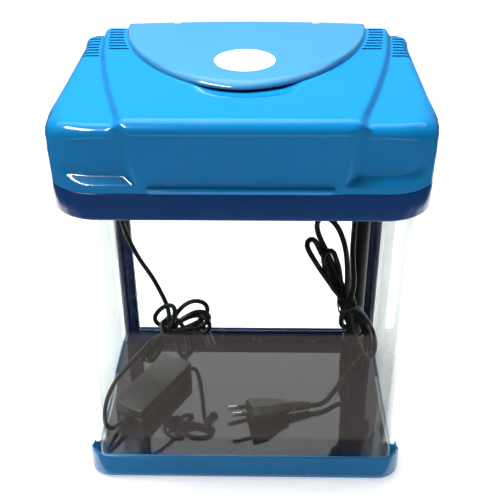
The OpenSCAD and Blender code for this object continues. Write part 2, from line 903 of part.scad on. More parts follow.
module plug_body() {
  color(black) plug_frame() {
    rotate([90, 0, 90]) {
      hull() {
        linear_extrude(10) plug_section(35, 13.8);
        translate([0, 0, 22]) linear_extrude(1) plug_section(27, 13);
      }
      hull() {
        translate([0, 0, 22]) linear_extrude(1) plug_section(27, 13);
        translate([0, 0, plug_l - 2]) linear_extrude(2) plug_section(17, 12);
      }
    }
    rotate([0, 90, 0]) {
      translate([0, 0, plug_l - 1]) cylinder(r = 4, h = plug_tail - plug_l + 1);
      for (z = [plug_l + 3:5:plug_tail - 4]) translate([0, 0, z]) cylinder(r = 5, h = 3);
    }
  }
}

module prongs() {
  for (y = [-pin_gap / 2, pin_gap / 2]) plug_frame() translate([0, y, 0]) rotate([0, -90, 0])
    children();
}

module plug_sleeves() {
  color(black) prongs() difference() {
    cylinder(r = prong_r - 0.1, h = 9.6);
    translate([0, 0, -1]) cylinder(r = 1.5, h = 12);
  }
}

module plug_pins() {
  color("silver") prongs() {
    cylinder(r = 1.5, h = 9.6);
    translate([0, 0, 9.6]) cylinder(r = prong_r, h = prong_l - 11);
    translate([0, 0, prong_l - 1.4]) cylinder(r1 = prong_r, r2 = prong_r - 1, h = 1.4);
  }
}

base_tray();
base_feet();
floor_pane();
bent_pane();
rear_pane();
corner_post_left();
corner_post_right();
rear_rail();
corner_seals();
floor_seal();
collar();
hood_hinge_pins();
lamp_grommet();
filter_box();
filter_box_cover();
filter_sponge();
carbon_cartridge();
pump_motor();
pump_volute();
volute_seal();
pump_shaft();
shaft_bushes();
outlet_spout();
riser_tube();
riser_adaptor();
strainer();
strainer_cap();
pump_gland();
impeller();
impeller_magnet();
flow_valve();
flow_knob();
hood_shell();
lamp_housing();
lamp_board();
lamp_diodes();
lamp_lens();
lamp_screws();
lamp_inner_lead();
feed_hatch();
hatch_label();
hatch_pins();
driver_base();
driver_cover();
driver_board();
driver_screws();
driver_front_relief();
driver_back_relief();
tail_lead();
tail_socket();
lamp_lead_upper();
lamp_hank();
lamp_lead_lower();
pump_lead_upper();
pump_hank();
pump_tie();
pump_lead_lower();
plug_body();
plug_sleeves();
plug_pins();
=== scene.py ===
"""A small desktop aquarium, dressed for its looks around its fixed frame.

Bent glass stands in a moulded base, a hood with a feeding hatch and a lamp sits on a collar, a pump filter
with a riser tube hangs at the back right, and two bundled leads lie in the empty tank.
"""

import json
import logging
import math
from contextlib import contextmanager
from dataclasses import dataclass, field
from enum import Enum
from typing import Callable, Iterator, Sequence

import bmesh
import bpy
import numpy as np
from mathutils import Matrix, Vector

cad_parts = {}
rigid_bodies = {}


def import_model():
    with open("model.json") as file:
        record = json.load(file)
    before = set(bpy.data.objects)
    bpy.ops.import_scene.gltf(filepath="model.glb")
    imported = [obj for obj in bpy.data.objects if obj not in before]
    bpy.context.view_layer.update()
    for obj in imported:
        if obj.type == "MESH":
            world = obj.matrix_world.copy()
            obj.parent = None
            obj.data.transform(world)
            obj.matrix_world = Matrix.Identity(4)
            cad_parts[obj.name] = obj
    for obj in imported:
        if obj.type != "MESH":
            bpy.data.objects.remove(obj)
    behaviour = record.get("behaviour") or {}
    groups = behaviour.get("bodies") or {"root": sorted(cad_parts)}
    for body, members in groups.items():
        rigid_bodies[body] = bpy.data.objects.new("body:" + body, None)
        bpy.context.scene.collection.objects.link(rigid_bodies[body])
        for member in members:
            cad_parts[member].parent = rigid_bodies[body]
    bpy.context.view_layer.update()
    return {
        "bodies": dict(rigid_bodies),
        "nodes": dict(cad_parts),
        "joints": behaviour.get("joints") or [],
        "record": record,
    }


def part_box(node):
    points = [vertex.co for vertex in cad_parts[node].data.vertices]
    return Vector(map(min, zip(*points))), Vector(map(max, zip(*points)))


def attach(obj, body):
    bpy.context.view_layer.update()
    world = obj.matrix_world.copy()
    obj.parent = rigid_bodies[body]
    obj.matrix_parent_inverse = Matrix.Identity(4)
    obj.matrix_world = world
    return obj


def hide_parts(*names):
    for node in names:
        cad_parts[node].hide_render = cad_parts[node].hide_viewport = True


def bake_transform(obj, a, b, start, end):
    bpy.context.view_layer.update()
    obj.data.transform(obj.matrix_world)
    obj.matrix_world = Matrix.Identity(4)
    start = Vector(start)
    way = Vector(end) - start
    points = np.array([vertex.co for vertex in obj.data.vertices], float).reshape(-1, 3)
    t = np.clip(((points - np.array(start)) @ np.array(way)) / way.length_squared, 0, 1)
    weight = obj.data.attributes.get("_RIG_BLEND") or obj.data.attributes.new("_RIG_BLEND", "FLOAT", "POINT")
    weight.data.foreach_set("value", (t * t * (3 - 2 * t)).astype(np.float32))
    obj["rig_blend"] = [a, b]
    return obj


LOG = logging.getLogger("aquarium")
Point = tuple[float, float, float]
Pair = tuple[float, float]
Piece = bpy.types.Object
Socket = bpy.types.NodeSocket


def mm(*points: Sequence[float]) -> tuple[tuple[float, ...], ...]:
    """Points that are written in millimetres, in metres."""
    return tuple(tuple(part / 1000 for part in point) for point in points)


# ---------------------------------------------------------------- modelling


def deselect_all() -> None:
    """Leaves nothing selected, so that an operator acts only on what is chosen next."""
    bpy.ops.object.select_all(action="DESELECT")


def choose(piece: Piece) -> None:
    """Selects one object alone and makes it active."""
    deselect_all()
    piece.select_set(True)
    bpy.context.view_layer.objects.active = piece


def adopt(name: str) -> Piece:
    """Names the primitive that was just added, with its place put into its mesh.

    Args:
        name: The name of the piece.

    Returns:
        The new object.
    """
    piece = bpy.context.active_object
    piece.name = name
    piece.data.name = name
    bpy.ops.object.transform_apply(location=True, rotation=True, scale=True)
    return piece


@contextmanager
def editing(piece: Piece) -> Iterator[None]:
    """Opens a piece in edit mode and closes it again."""
    choose(piece)
    bpy.ops.object.mode_set(mode="EDIT")
    try:
        yield
    finally:
        bpy.ops.object.mode_set(mode="OBJECT")


def pick(piece: Piece, kind: str, test: Callable[..., bool]) -> None:
    """Selects vertices, edges or faces of a piece in edit mode by a test on each.

    Args:
        piece: The object in edit mode.
        kind: VERT, EDGE or FACE.
        test: Takes the element, and says whether it is chosen.
    """
    bpy.ops.mesh.select_mode(type=kind)
    bpy.ops.mesh.select_all(action="DESELECT")
    mesh = bmesh.from_edit_mesh(piece.data)
    mesh.normal_update()
    group = {"VERT": mesh.verts, "EDGE": mesh.edges, "FACE": mesh.faces}[kind]
    group.ensure_lookup_table()
    for element in [item for item in group if test(item)]:
        element.select_set(True)
    mesh.select_flush_mode()
    bmesh.update_edit_mesh(piece.data)


def with_modifier(piece: Piece, kind: str, **settings: object) -> Piece:
    """Adds a modifier, sets it and applies it.

    Args:
        piece: The object to change.
        kind: The modifier's type.
        settings: Its properties.

    Returns:
        The same object.
    """
    choose(piece)
    made = piece.modifiers.new(kind.lower(), kind)
    for key, value in settings.items():
        setattr(made, key, value)
    bpy.ops.object.modifier_apply(modifier=made.name)
    return piece


def joined(name: str, pieces: Sequence[Piece]) -> Piece:
    """Joins pieces into one object under a name."""
    deselect_all()
    for piece in pieces:
        piece.select_set(True)
    bpy.context.view_layer.objects.active = pieces[0]
    if len(pieces) > 1:
        bpy.ops.object.join()
    result = bpy.context.active_object
    result.name = name
    result.data.name = name
    return result


def shaded(piece: Piece, angle: float) -> Piece:
    """Shades a piece smooth, up to an angle in degrees."""
    choose(piece)
    bpy.ops.object.shade_smooth_by_angle(angle=math.radians(angle))
    return piece


def tidy_mesh(piece: Piece, angle: float = 32.0, merge: float = 1e-6) -> Piece:
    """Merges doubles, turns the faces outwards and shades the piece smooth up to an angle.

    Args:
        piece: The object to finish.
        angle: The sharpest edge that is still smooth, in degrees.
        merge: The distance under which vertices are merged.

    Returns:
        The same object.
    """
    with editing(piece):
        bpy.ops.mesh.select_all(action="SELECT")
        bpy.ops.mesh.remove_doubles(threshold=merge)
        bpy.ops.mesh.normals_make_consistent(inside=False)
    return shaded(piece, angle)


def rounded_box(name: str, low: Sequence[float], high: Sequence[float], radius: float,
                segments: int = 3) -> Piece:
    """A box with all its edges rounded.

    Args:
        name: The piece's name.
        low: Its lowest corner.
        high: Its highest corner.
        radius: The radius of its edges.
        segments: How many faces go round an edge.

    Returns:
        The new object.
    """
    deselect_all()
    middle = [(a + b) / 2 for a, b in zip(low, high)]
    bpy.ops.mesh.primitive_cube_add(size=1, location=middle)
    bpy.context.active_object.scale = [b - a for a, b in zip(low, high)]
    piece = adopt(name)
    with editing(piece):
        bpy.ops.mesh.select_all(action="SELECT")
        bpy.ops.mesh.bevel(offset=radius, segments=segments, profile=0.5)
    return piece


def rod(name: str, start: Sequence[float], end: Sequence[float], radius: float, sides: int = 32) -> Piece:
    """A round bar between two points."""
    a, b = Vector(start), Vector(end)
    deselect_all()
    bpy.ops.mesh.primitive_cylinder_add(
        vertices=sides, radius=radius, depth=(b - a).length, location=(a + b) / 2,
        rotation=(b - a).to_track_quat("Z", "Y").to_euler())
    return adopt(name)


def set_ring(piece: Piece, ring: np.ndarray) -> None:
    """Puts the selected vertices of an edited piece where the ring says, by their stored order."""
    mesh = bmesh.from_edit_mesh(piece.data)
    order = mesh.verts.layers.int["order"]
    for vertex in mesh.verts:
        if vertex.select:
            vertex.co = ring[vertex[order]]
    bmesh.update_edit_mesh(piece.data)


def loft(name: str, rings: Sequence[np.ndarray], loop: bool = True, capped: bool = False,
         section_closed: bool = False) -> Piece:
    """Extrudes an outline from ring to ring.

    Args:
        name: The piece's name.
        rings: Outlines of the same number of points.
        loop: Whether each outline is closed.
        capped: Whether the first and last outlines are filled.
        section_closed: Whether the last ring runs back into the first.

    Returns:
        The new object.
    """
    deselect_all()
    count = len(rings[0])
    bpy.ops.mesh.primitive_circle_add(vertices=count, radius=1, fill_type="NOTHING")
    piece = adopt(name)
    with editing(piece):
        mesh = bmesh.from_edit_mesh(piece.data)
        mesh.verts.ensure_lookup_table()
        order = mesh.verts.layers.int.new("order")
        mesh.verts.ensure_lookup_table()
        for index, vertex in enumerate(mesh.verts):
            vertex[order] = index
            vertex.co = rings[0][index]
        if not loop:
            ends = {0, count - 1}
            closing = [e for e in mesh.edges if {v[order] for v in e.verts} == ends]
            bmesh.ops.delete(mesh, geom=closing, context="EDGES")
        bmesh.update_edit_mesh(piece.data)
        bpy.ops.mesh.select_mode(type="EDGE")
        bpy.ops.mesh.select_all(action="SELECT")
        if capped:
            bpy.ops.mesh.edge_face_add()
            pick(piece, "EDGE", lambda e: True)
        rest = list(rings[1:]) + ([rings[0]] if section_closed else [])
        for ring in rest:
            bpy.ops.mesh.extrude_edges_move()
            set_ring(piece, ring)
        if capped:
            bpy.ops.mesh.edge_face_add()
        bpy.ops.mesh.select_all(action="SELECT")
        bpy.ops.mesh.remove_doubles(threshold=1e-7)
        bpy.ops.mesh.normals_make_consistent(inside=False)
    return piece


def close_ends(piece: Piece) -> None:
    """Fills the open ends of a lofted piece."""
    with editing(piece):
        pick(piece, "EDGE", lambda e: e.is_boundary)
        bpy.ops.mesh.edge_face_add()


def turned(name: str, place: Matrix, profile: Sequence[Pair], hollow: bool = False,
           sides: int = 40) -> Piece:
    """A round piece turned about an axis.

    Args:
        name: The piece's name.
        place: Where its axis, which is its own Z, lies.
        profile: Places along the axis and the radius there.
        hollow: Whether the profile runs back into its start, as on a tube, instead of ending in flat faces.
        sides: How many faces go round it.

    Returns:
        The new object.
    """
    turn = np.linspace(0, 2 * math.pi, sides, endpoint=False)
    rings = [np.column_stack([r * np.cos(turn), r * np.sin(turn), np.full(sides, t)]) for t, r in profile]
    piece = loft(name, rings, capped=not hollow, section_closed=hollow)
    piece.data.transform(place)
    return piece


def placed(origin: Point, yaw: float = 0.0, pitch: float = 0.0, roll: float = 0.0) -> Matrix:
    """A place and its turns in degrees: about X first, then Y, then Z."""
    turns = [Matrix.Rotation(math.radians(a), 4, axis) for a, axis in ((yaw, "Z"), (pitch, "Y"), (roll, "X"))]
    return Matrix.Translation(origin) @ turns[0] @ turns[1] @ turns[2]


def cut(piece: Piece, tools: Sequence[Piece], operation: str = "DIFFERENCE") -> Piece:
    """Cuts tools out of a piece, or adds them to it, and removes the tools."""
    tool = joined("cutter", list(tools))
    with_modifier(piece, "BOOLEAN", operation=operation, solver="EXACT", object=tool)
    bpy.data.objects.remove(tool)
    return piece


# ---------------------------------------------------------------- outlines and profiles


@dataclass(frozen=True)
class Plan:
    """A rectangle seen from above, centred on the origin, with its front and back corners rounded."""

    width: float
    depth: float
    front_radius: float
    back_radius: float
    corner_points: int = 14
    side_points: int = 10

    def grown(self, by: float) -> "Plan":
        """The same plan, larger all round."""
        return Plan(self.width + 2 * by, self.depth + 2 * by, max(self.front_radius + by, 1e-4),
                    max(self.back_radius + by, 1e-4), self.corner_points, self.side_points)

    def outline(self, z: float) -> np.ndarray:
        """Points round the plan at a height, against the clock, starting at the back of the left side."""
        w, d = self.width / 2, self.depth / 2
        corners = [(-w, -d, self.front_radius, 180), (w, -d, self.front_radius, 270),
                   (w, d, self.back_radius, 0), (-w, d, self.back_radius, 90)]
        points = []
        for x, y, r, start in corners:
            cx, cy = x - math.copysign(r, x), y - math.copysign(r, y)
            for i in range(self.corner_points + 1):
                a = math.radians(start + 90 * i / self.corner_points)
                points.append((cx + r * math.cos(a), cy + r * math.sin(a), z))
        full = []
        for i, point in enumerate(points):
            full.append(point)
            if i % (self.corner_points + 1) == self.corner_points:
                after = points[(i + 1) % len(points)]
                for k in range(1, self.side_points):
                    t = k / self.side_points
                    full.append(tuple(a + (b - a) * t for a, b in zip(point, after)))
        return np.array(full)


def rounded_profile(corners: Sequence[tuple[float, float, float]], steps: int = 4) -> list[Pair]:
    """Rounds the corners of a closed section.

    Args:
        corners: Each corner's two coordinates and its radius.
        steps: How many faces go round a corner.

    Returns:
        The points of the rounded section.
    """
    result = []
    count = len(corners)
    for i, (a, b, radius) in enumerate(corners):
        here = np.array([a, b])
        before = np.array(corners[i - 1][:2]) - here
        after = np.array(corners[(i + 1) % count][:2]) - here
        if radius <= 0:
            result.append((a, b))
            continue
        u, v = before / np.linalg.norm(before), after / np.linalg.norm(after)
        half = math.acos(float(np.clip(u @ v, -1, 1))) / 2
        reach = radius / math.tan(half)
        centre = here + (u + v) / np.linalg.norm(u + v) * radius / math.sin(half)
        first, last = here + u * reach - centre, here + v * reach - centre
        a0 = math.atan2(first[1], first[0])
        turn = (math.atan2(last[1], last[0]) - a0 + math.pi) % (2 * math.pi) - math.pi
        for k in range(steps + 1):
            t = a0 + turn * k / steps
            result.append((centre[0] + radius * math.cos(t), centre[1] + radius * math.sin(t)))
    return result


def swept(name: str, plan: Plan, section: Sequence[Pair]) -> Piece:
    """Sweeps a closed section round a plan.

    Args:
        name: The piece's name.
        plan: The outline that the section follows.
        section: Points of how far in from the outline, and how high.

    Returns:
        The new object.
    """
    rings = [plan.grown(-inward).outline(z) for inward, z in section]
    return loft(name, rings, section_closed=True)


def curve_through(points: Sequence[Point], per_span: int = 6) -> np.ndarray:
    """A smooth curve through given points.

    Args:
        points: The places that it passes.
        per_span: How many steps lie between two of them.

    Returns:
        The curve's points.
    """
    p = np.array(points, float)
    result = []
    for i in range(len(p) - 1):
        a, b, c, d = p[max(i - 1, 0)], p[i], p[i + 1], p[min(i + 2, len(p) - 1)]
        for k in range(per_span):
            t = k / per_span
            result.append((2 * b + (c - a) * t + (2 * a - 5 * b + 4 * c - d) * t ** 2
                           + (3 * b - a - 3 * c + d) * t ** 3) / 2)
    result.append(p[-1])
    return np.array(result)


def spaced(path: np.ndarray, step: float) -> np.ndarray:
    """The same path with its points a step apart."""
    lengths = np.r_[0, np.cumsum(np.linalg.norm(np.diff(path, axis=0), axis=1))]
    count = max(int(round(lengths[-1] / step)), 2)
    at = np.linspace(0, lengths[-1], count + 1)
    return np.column_stack([np.interp(at, lengths, path[:, k]) for k in range(3)])


def settled(path: np.ndarray, diameter: float, held: np.ndarray, rounds: int = 90,
            stiffness: float = 0.25) -> np.ndarray:
    """Pushes a cord's strands off each other and lets its bends even out.

    Args:
        path: Evenly spaced points along the cord.
        diameter: The cord's diameter.
        held: How firmly each point keeps its place, from 0 to 1.
        rounds: How many times the strands are pushed.
        stiffness: How much each round evens the bends.

    Returns:
        The settled points.
    """
    points = path.copy()
    count = len(points)
    step = float(np.mean(np.linalg.norm(np.diff(path, axis=0), axis=1)))
    near = int(math.ceil(1.6 * diameter / step))
    index = np.arange(count)
    apart = np.abs(index[:, None] - index[None, :]) > near
    free = (1 - held)[:, None]
    for _ in range(rounds):
        gap = points[:, None, :] - points[None, :, :]
        distance = np.linalg.norm(gap, axis=2) + 1e-9
        overlap = np.where(apart, np.maximum(diameter * 1.02 - distance, 0), 0)
        push = (gap / distance[:, :, None] * overlap[:, :, None]).sum(axis=1)
        reach = np.linalg.norm(push, axis=1, keepdims=True) + 1e-12
        push *= np.minimum(1, 0.35 * diameter / reach) * 0.5
        even = np.zeros_like(points)
        even[1:-1] = (points[:-2] + points[2:]) / 2 - points[1:-1]
        points += (push + stiffness * even) * free
        points += (path - points) * 0.02
    return eased(points, diameter * 1.2)


def eased(path: np.ndarray, radius: float, rounds: int = 60) -> np.ndarray:
    """Opens every bend of a path that is tighter than a radius.

    Args:
        path: Evenly spaced points.
        radius: The tightest bend to leave.
        rounds: How many times the bends are opened.

    Returns:
        Evenly spaced points.
    """
    points = path.copy()
    for turn in range(rounds):
        step = float(np.mean(np.linalg.norm(np.diff(points, axis=0), axis=1)))
        if turn % 12 == 11:
            points = spaced(points, step)
        sag = (points[:-2] + points[2:]) / 2 - points[1:-1]
        depth = np.linalg.norm(sag, axis=1, keepdims=True) + 1e-12
        over = np.clip(1 - step ** 2 / (2 * radius) / depth, 0, 1)
        over[:3] = over[-3:] = 0
        smooth = over.copy()
        smooth[1:-1] = np.maximum(over[1:-1], (over[:-2] + over[2:]) / 2)
        points[1:-1] += sag * 0.45 * smooth
    return spaced(points, step)


# ---------------------------------------------------------------- finishes


class Pattern(Enum):
    """The fine texture that a finish has."""

    ORANGE_PEEL = "orange peel"
    SPARK = "spark-eroded grain"
    DRAWN = "drawn"
    FOAM = "open foam"
    FELT = "felt"
    SMOOTH = "smooth"


class Nodes:
    """A short way to wire a material's nodes."""

    def __init__(self, name: str) -> None:
        """Starts an empty material."""
        self.material = bpy.data.materials.new(name)
        self.material.use_nodes = True
        self.tree = self.material.node_tree
        self.tree.nodes.clear()
        self.output = self.tree.nodes.new("ShaderNodeOutputMaterial")

    def add(self, kind: str, **inputs: object) -> bpy.types.Node:
        """Adds a node and sets its inputs; a value that is a socket is linked.

        Args:
            kind: The node's type, without its Shader Node prefix.
            inputs: Values by input name, with underscores for spaces.

        Returns:
            The node.
        """
        node = self.tree.nodes.new("ShaderNode" + kind)
        for key, value in inputs.items():
            socket = node.inputs[key.replace("_", " ")]
            if isinstance(value, Socket):
                self.tree.links.new(value, socket)
            else:
                socket.default_value = value
        return node

    def noise(self, scale: float, detail: float = 2.0, roughness: float = 0.5,
              stretch: Sequence[float] = (1, 1, 1)) -> Socket:
        """A noise on the object's own coordinates."""
        where = self.add("TexCoord").outputs["Object"]
        mapped = self.add("Mapping", Vector=where, Scale=tuple(stretch)).outputs["Vector"]
        return self.add("TexNoise", Vector=mapped, Scale=scale, Detail=detail,
                        Roughness=roughness).outputs["Fac"]

    def ramp(self, factor: Socket, stops: Sequence[tuple[float, Sequence[float]]]) -> Socket:
        """A colour ramp over a factor."""
        node = self.tree.nodes.new("ShaderNodeValToRGB")
        self.tree.links.new(factor, node.inputs[0])
        elements = node.color_ramp.elements
        while len(elements) < len(stops):
            elements.new(0.5)
        for element, (place, colour) in zip(elements, stops):
            element.position = place
            element.color = (*colour, 1) if len(colour) == 3 else tuple(colour)
        return node.outputs["Color"]

    def spread(self, factor: Socket, low: float, high: float) -> Socket:
        """Maps a factor from 0.3 to 0.7 onto a range."""
        node = self.add("MapRange", Value=factor)
        for key, value in (("From Min", 0.3), ("From Max", 0.7), ("To Min", low), ("To Max", high)):
            node.inputs[key].default_value = value
        return node.outputs["Result"]

    def bump(self, height: Socket, distance: float) -> Socket:
        """A bump of a real height."""
        return self.add("Bump", Height=height, Distance=distance, Strength=1.0).outputs["Normal"]

    def close(self, shader: Socket) -> bpy.types.Material:
        """Ends the material in a shader."""
        self.tree.links.new(shader, self.output.inputs["Surface"])
        return self.material


def shade(colour: Sequence[float], by: float) -> tuple[float, float, float]:
    """A colour made lighter or darker by a factor."""
    return tuple(min(c * by, 1.0) for c in colour[:3])


@dataclass(frozen=True)
class Moulding:
    """A moulded plastic or rubber finish, glossy or matte."""

    name: str
    colour: tuple[float, float, float]
    roughness: float = 0.3
    gloss: float = 0.0
    variation: float = 0.06
    pattern: Pattern = Pattern.SMOOTH
    grain: float = 900.0
    depth: float = 0.00004
    level: float = 0.5
    metal: float = 0.0

    def material(self) -> bpy.types.Material:
        """The finish as a material: a broken colour, uneven gloss and its fine texture as a bump."""
        n = Nodes(self.name)
        broad = n.noise(9.0, 3.0)
        colour = n.ramp(broad, [(0.25, shade(self.colour, 1 - self.variation)),
                                (0.75, shade(self.colour, 1 + self.variation))])
        streaks = n.noise(60.0, 4.0, 0.6)
        rough = n.spread(streaks, self.roughness * 0.85, min(self.roughness * 1.2, 1))
        shader = n.add("BsdfPrincipled", Base_Color=colour, Roughness=rough, Metallic=self.metal)
        shader.inputs["Specular IOR Level"].default_value = self.level
        shader.inputs["Coat Weight"].default_value = self.gloss
        shader.inputs["Coat Roughness"].default_value = 0.03
        if self.pattern is not Pattern.SMOOTH:
            stretch = (1, 1, 40) if self.pattern is Pattern.DRAWN else (1, 1, 1)
            height = n.noise(self.grain, 3.0, 0.55, stretch)
            normal = n.bump(height, self.depth)
            n.tree.links.new(normal, shader.inputs["Normal"])
            if self.pattern is Pattern.ORANGE_PEEL:
                n.tree.links.new(normal, shader.inputs["Coat Normal"])
        return n.close(shader.outputs["BSDF"])


@dataclass(frozen=True)
class ClearGlass:
    """Clear glass or clear plastic that lets light through to what stands behind it."""

    name: str
    tint: tuple[float, float, float] = (0.97, 0.99, 0.985)
    roughness: float = 0.0
    index: float = 1.5

    def material(self) -> bpy.types.Material:
        """Glass that bends light, but whose shadow is clear."""
        n = Nodes(self.name)
        glass = n.add("BsdfGlass", Color=(*self.tint, 1), Roughness=self.roughness, IOR=self.index)
        clear = n.add("BsdfTransparent", Color=(*self.tint, 1))
        light = n.add("LightPath")
        mixed = n.add("MixShader")
        n.tree.links.new(light.outputs["Is Shadow Ray"], mixed.inputs[0])
        n.tree.links.new(glass.outputs[0], mixed.inputs[1])
        n.tree.links.new(clear.outputs[0], mixed.inputs[2])
        return n.close(mixed.outputs[0])


@dataclass(frozen=True)
class SoftMedia:
    """Filter foam or felt: open cells or short fibres."""

    name: str
    colour: tuple[float, float, float]
    pattern: Pattern
    cell: float = 700.0

    def material(self) -> bpy.types.Material:
        """Cells from a Voronoi pattern, with painted shade darkening their depths."""
        n = Nodes(self.name)
        where = n.add("TexCoord").outputs["Object"]
        cells = n.add("TexVoronoi", Vector=where, Scale=self.cell).outputs["Distance"]
        # How dark the painted shade in the cells' depths is: deep in open foam, light in felt.
        dark = 0.25 if self.pattern is Pattern.FOAM else 0.75
        colour = n.ramp(cells, [(0.1, shade(self.colour, dark)), (0.6, self.colour)])
        shader = n.add("BsdfPrincipled", Base_Color=colour, Roughness=0.95)
        shader.inputs["Sheen Weight"].default_value = 0.3
        n.tree.links.new(n.bump(cells, 0.0006), shader.inputs["Normal"])
        return n.close(shader.outputs["BSDF"])


class Palette:
    """Every finish of the object, made once and shared by the pieces."""

    def __init__(self) -> None:
        """Lists the finishes by their slot."""
        peel, spark, drawn = Pattern.ORANGE_PEEL, Pattern.SPARK, Pattern.DRAWN
        self.finishes = {
            "shell_blue": Moulding("hood blue", (0.004, 0.185, 0.46), 0.16, 0.5, 0.03, peel, 260, 1.2e-5),
            # The collar's finish is the hood's blue made darker: painted shade for the collar's dim front
            # below the hood's lip.
            "collar_shaded_blue": Moulding("collar blue painted shade", (0.001, 0.04, 0.17), 0.2, 0.35, 0.03, peel, 260, 1.2e-5),
            "base_blue": Moulding("base blue", (0.008, 0.18, 0.43), 0.2, 0.4, 0.03, peel, 260, 1.5e-5),
            "post_blue": Moulding("post blue", (0.0008, 0.016, 0.060), 0.25, 0.1, 0.05, peel, 300, 1e-5),
            "hatch_blue": Moulding("hatch blue", (0.045, 0.21, 0.40), 0.15, 0.6, 0.03, peel, 220, 1.4e-5),
            "label_white": Moulding("label white", (0.92, 0.92, 0.92), 0.45, 0.0, 0.01, Pattern.FELT, 2500,
                                    6e-6),
            "glass": ClearGlass("tank glass"),
            "floor_glass": Moulding("floor glass over black", (0.012, 0.008, 0.014), 0.035, 1.0, 0.1),
            "seal": Moulding("silicone", (0.35, 0.37, 0.37), 0.35, 0.2, 0.05, spark, 300, 5e-5),
            "rubber_black": Moulding("black rubber", (0.012, 0.012, 0.012), 0.55, 0.0, 0.15, spark, 1200,
                                     3e-5),
            "steel": Moulding("steel", (0.56, 0.56, 0.57), 0.28, 0.0, 0.05, drawn, 1500, 1e-5, metal=1.0),
            "pump_black": Moulding("pump black", (0.002, 0.002, 0.002), 0.4, 0.0, 0.15, spark, 1500, 2e-5,
                                   0.25),
            "pump_grey": Moulding("pump grey", (0.03, 0.03, 0.033), 0.42, 0.0, 0.12, spark, 1500, 2e-5),
            "sponge": SoftMedia("filter foam", (0.05, 0.14, 0.3), Pattern.FOAM, 650),
            "cartridge": SoftMedia("filter felt", (0.75, 0.75, 0.72), Pattern.FELT, 1800),
            "impeller_white": Moulding("impeller white", (0.75, 0.75, 0.72), 0.4, 0.0, 0.04, spark, 1500,
                                       1e-5),
            "magnet": Moulding("magnet", (0.02, 0.02, 0.022), 0.35, 0.0, 0.2, spark, 2500, 2e-5, metal=0.4),
            "shaft_ceramic": Moulding("ceramic", (0.8, 0.79, 0.76), 0.2, 0.3, 0.02),
            "knob_blue": Moulding("knob blue", (0.014, 0.13, 0.36), 0.35, 0.2, 0.05, spark, 1500, 2e-5),
            "lamp_white": Moulding("lamp white", (0.8, 0.8, 0.79), 0.35, 0.1, 0.02, spark, 1500, 1e-5),
            "board": Moulding("board green", (0.01, 0.09, 0.035), 0.35, 0.4, 0.15),
            "diode": Moulding("diode", (0.85, 0.6, 0.12), 0.3, 0.6, 0.05),
            "lens": ClearGlass("lamp lens", (0.97, 0.98, 1.0), 0.12, 1.49),
            "driver_black": Moulding("driver black", (0.02, 0.018, 0.017), 0.42, 0.0, 0.18, spark, 1600,
                                     4e-5),
            "lead_black": Moulding("lead black", (0.0035, 0.003, 0.003), 0.32, 0.0, 0.2, spark, 500, 2e-5,
                                   0.35),
            "plug_black": Moulding("plug black", (0.014, 0.013, 0.012), 0.45, 0.0, 0.2, spark, 1800, 3e-5),
            "pin_nickel": Moulding("nickel", (0.75, 0.71, 0.64), 0.16, 0.0, 0.05, drawn, 900, 1e-5,
                                   metal=1.0),
        }
        self.made: dict[str, bpy.types.Material] = {}

    def __getitem__(self, slot: str) -> bpy.types.Material:
        """The material of a slot."""
        if slot not in self.made:
            self.made[slot] = self.finishes[slot].material()
        return self.made[slot]

    def dress(self, piece: Piece, slot: str) -> Piece:
        """Gives a whole piece one finish."""
        piece.data.materials.clear()
        piece.data.materials.append(self[slot])
        return piece


class Workshop:
    """Hands finished pieces to their bodies and keeps count of them."""

    def __init__(self, frame: dict) -> None:
        """Keeps the frame and its slots."""
        self.frame = frame
        self.palette = Palette()
        self.slots = {part["node"]: part["material_slot"] for part in frame["record"]["subparts"]}
        self.count = 0

    def deliver(self, piece: Piece, body: str, slot: str, *nodes: str) -> Piece:
        """Dresses a piece, lets it ride on its body and hides the nodes that it stands for.

        Args:
            piece: The finished object.
            body: The body that it moves with.
            slot: Its material slot.
            nodes: The nodes that it replaces.

        Returns:
            The same object.
        """
        self.palette.dress(piece, slot)
        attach(piece, body)
        if nodes:
            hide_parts(*nodes)
        self.count += 1
        LOG.info("%s: %d faces on %s", piece.name, len(getattr(piece.data, "polygons", [])), body)
        return piece

    def dress_nodes(self) -> None:
        """Gives every node that stays on show its own finish."""
        for name, node in self.frame["nodes"].items():
            if node.hide_render:
                continue
            self.palette.dress(node, self.slots[name])


# ---------------------------------------------------------------- studio


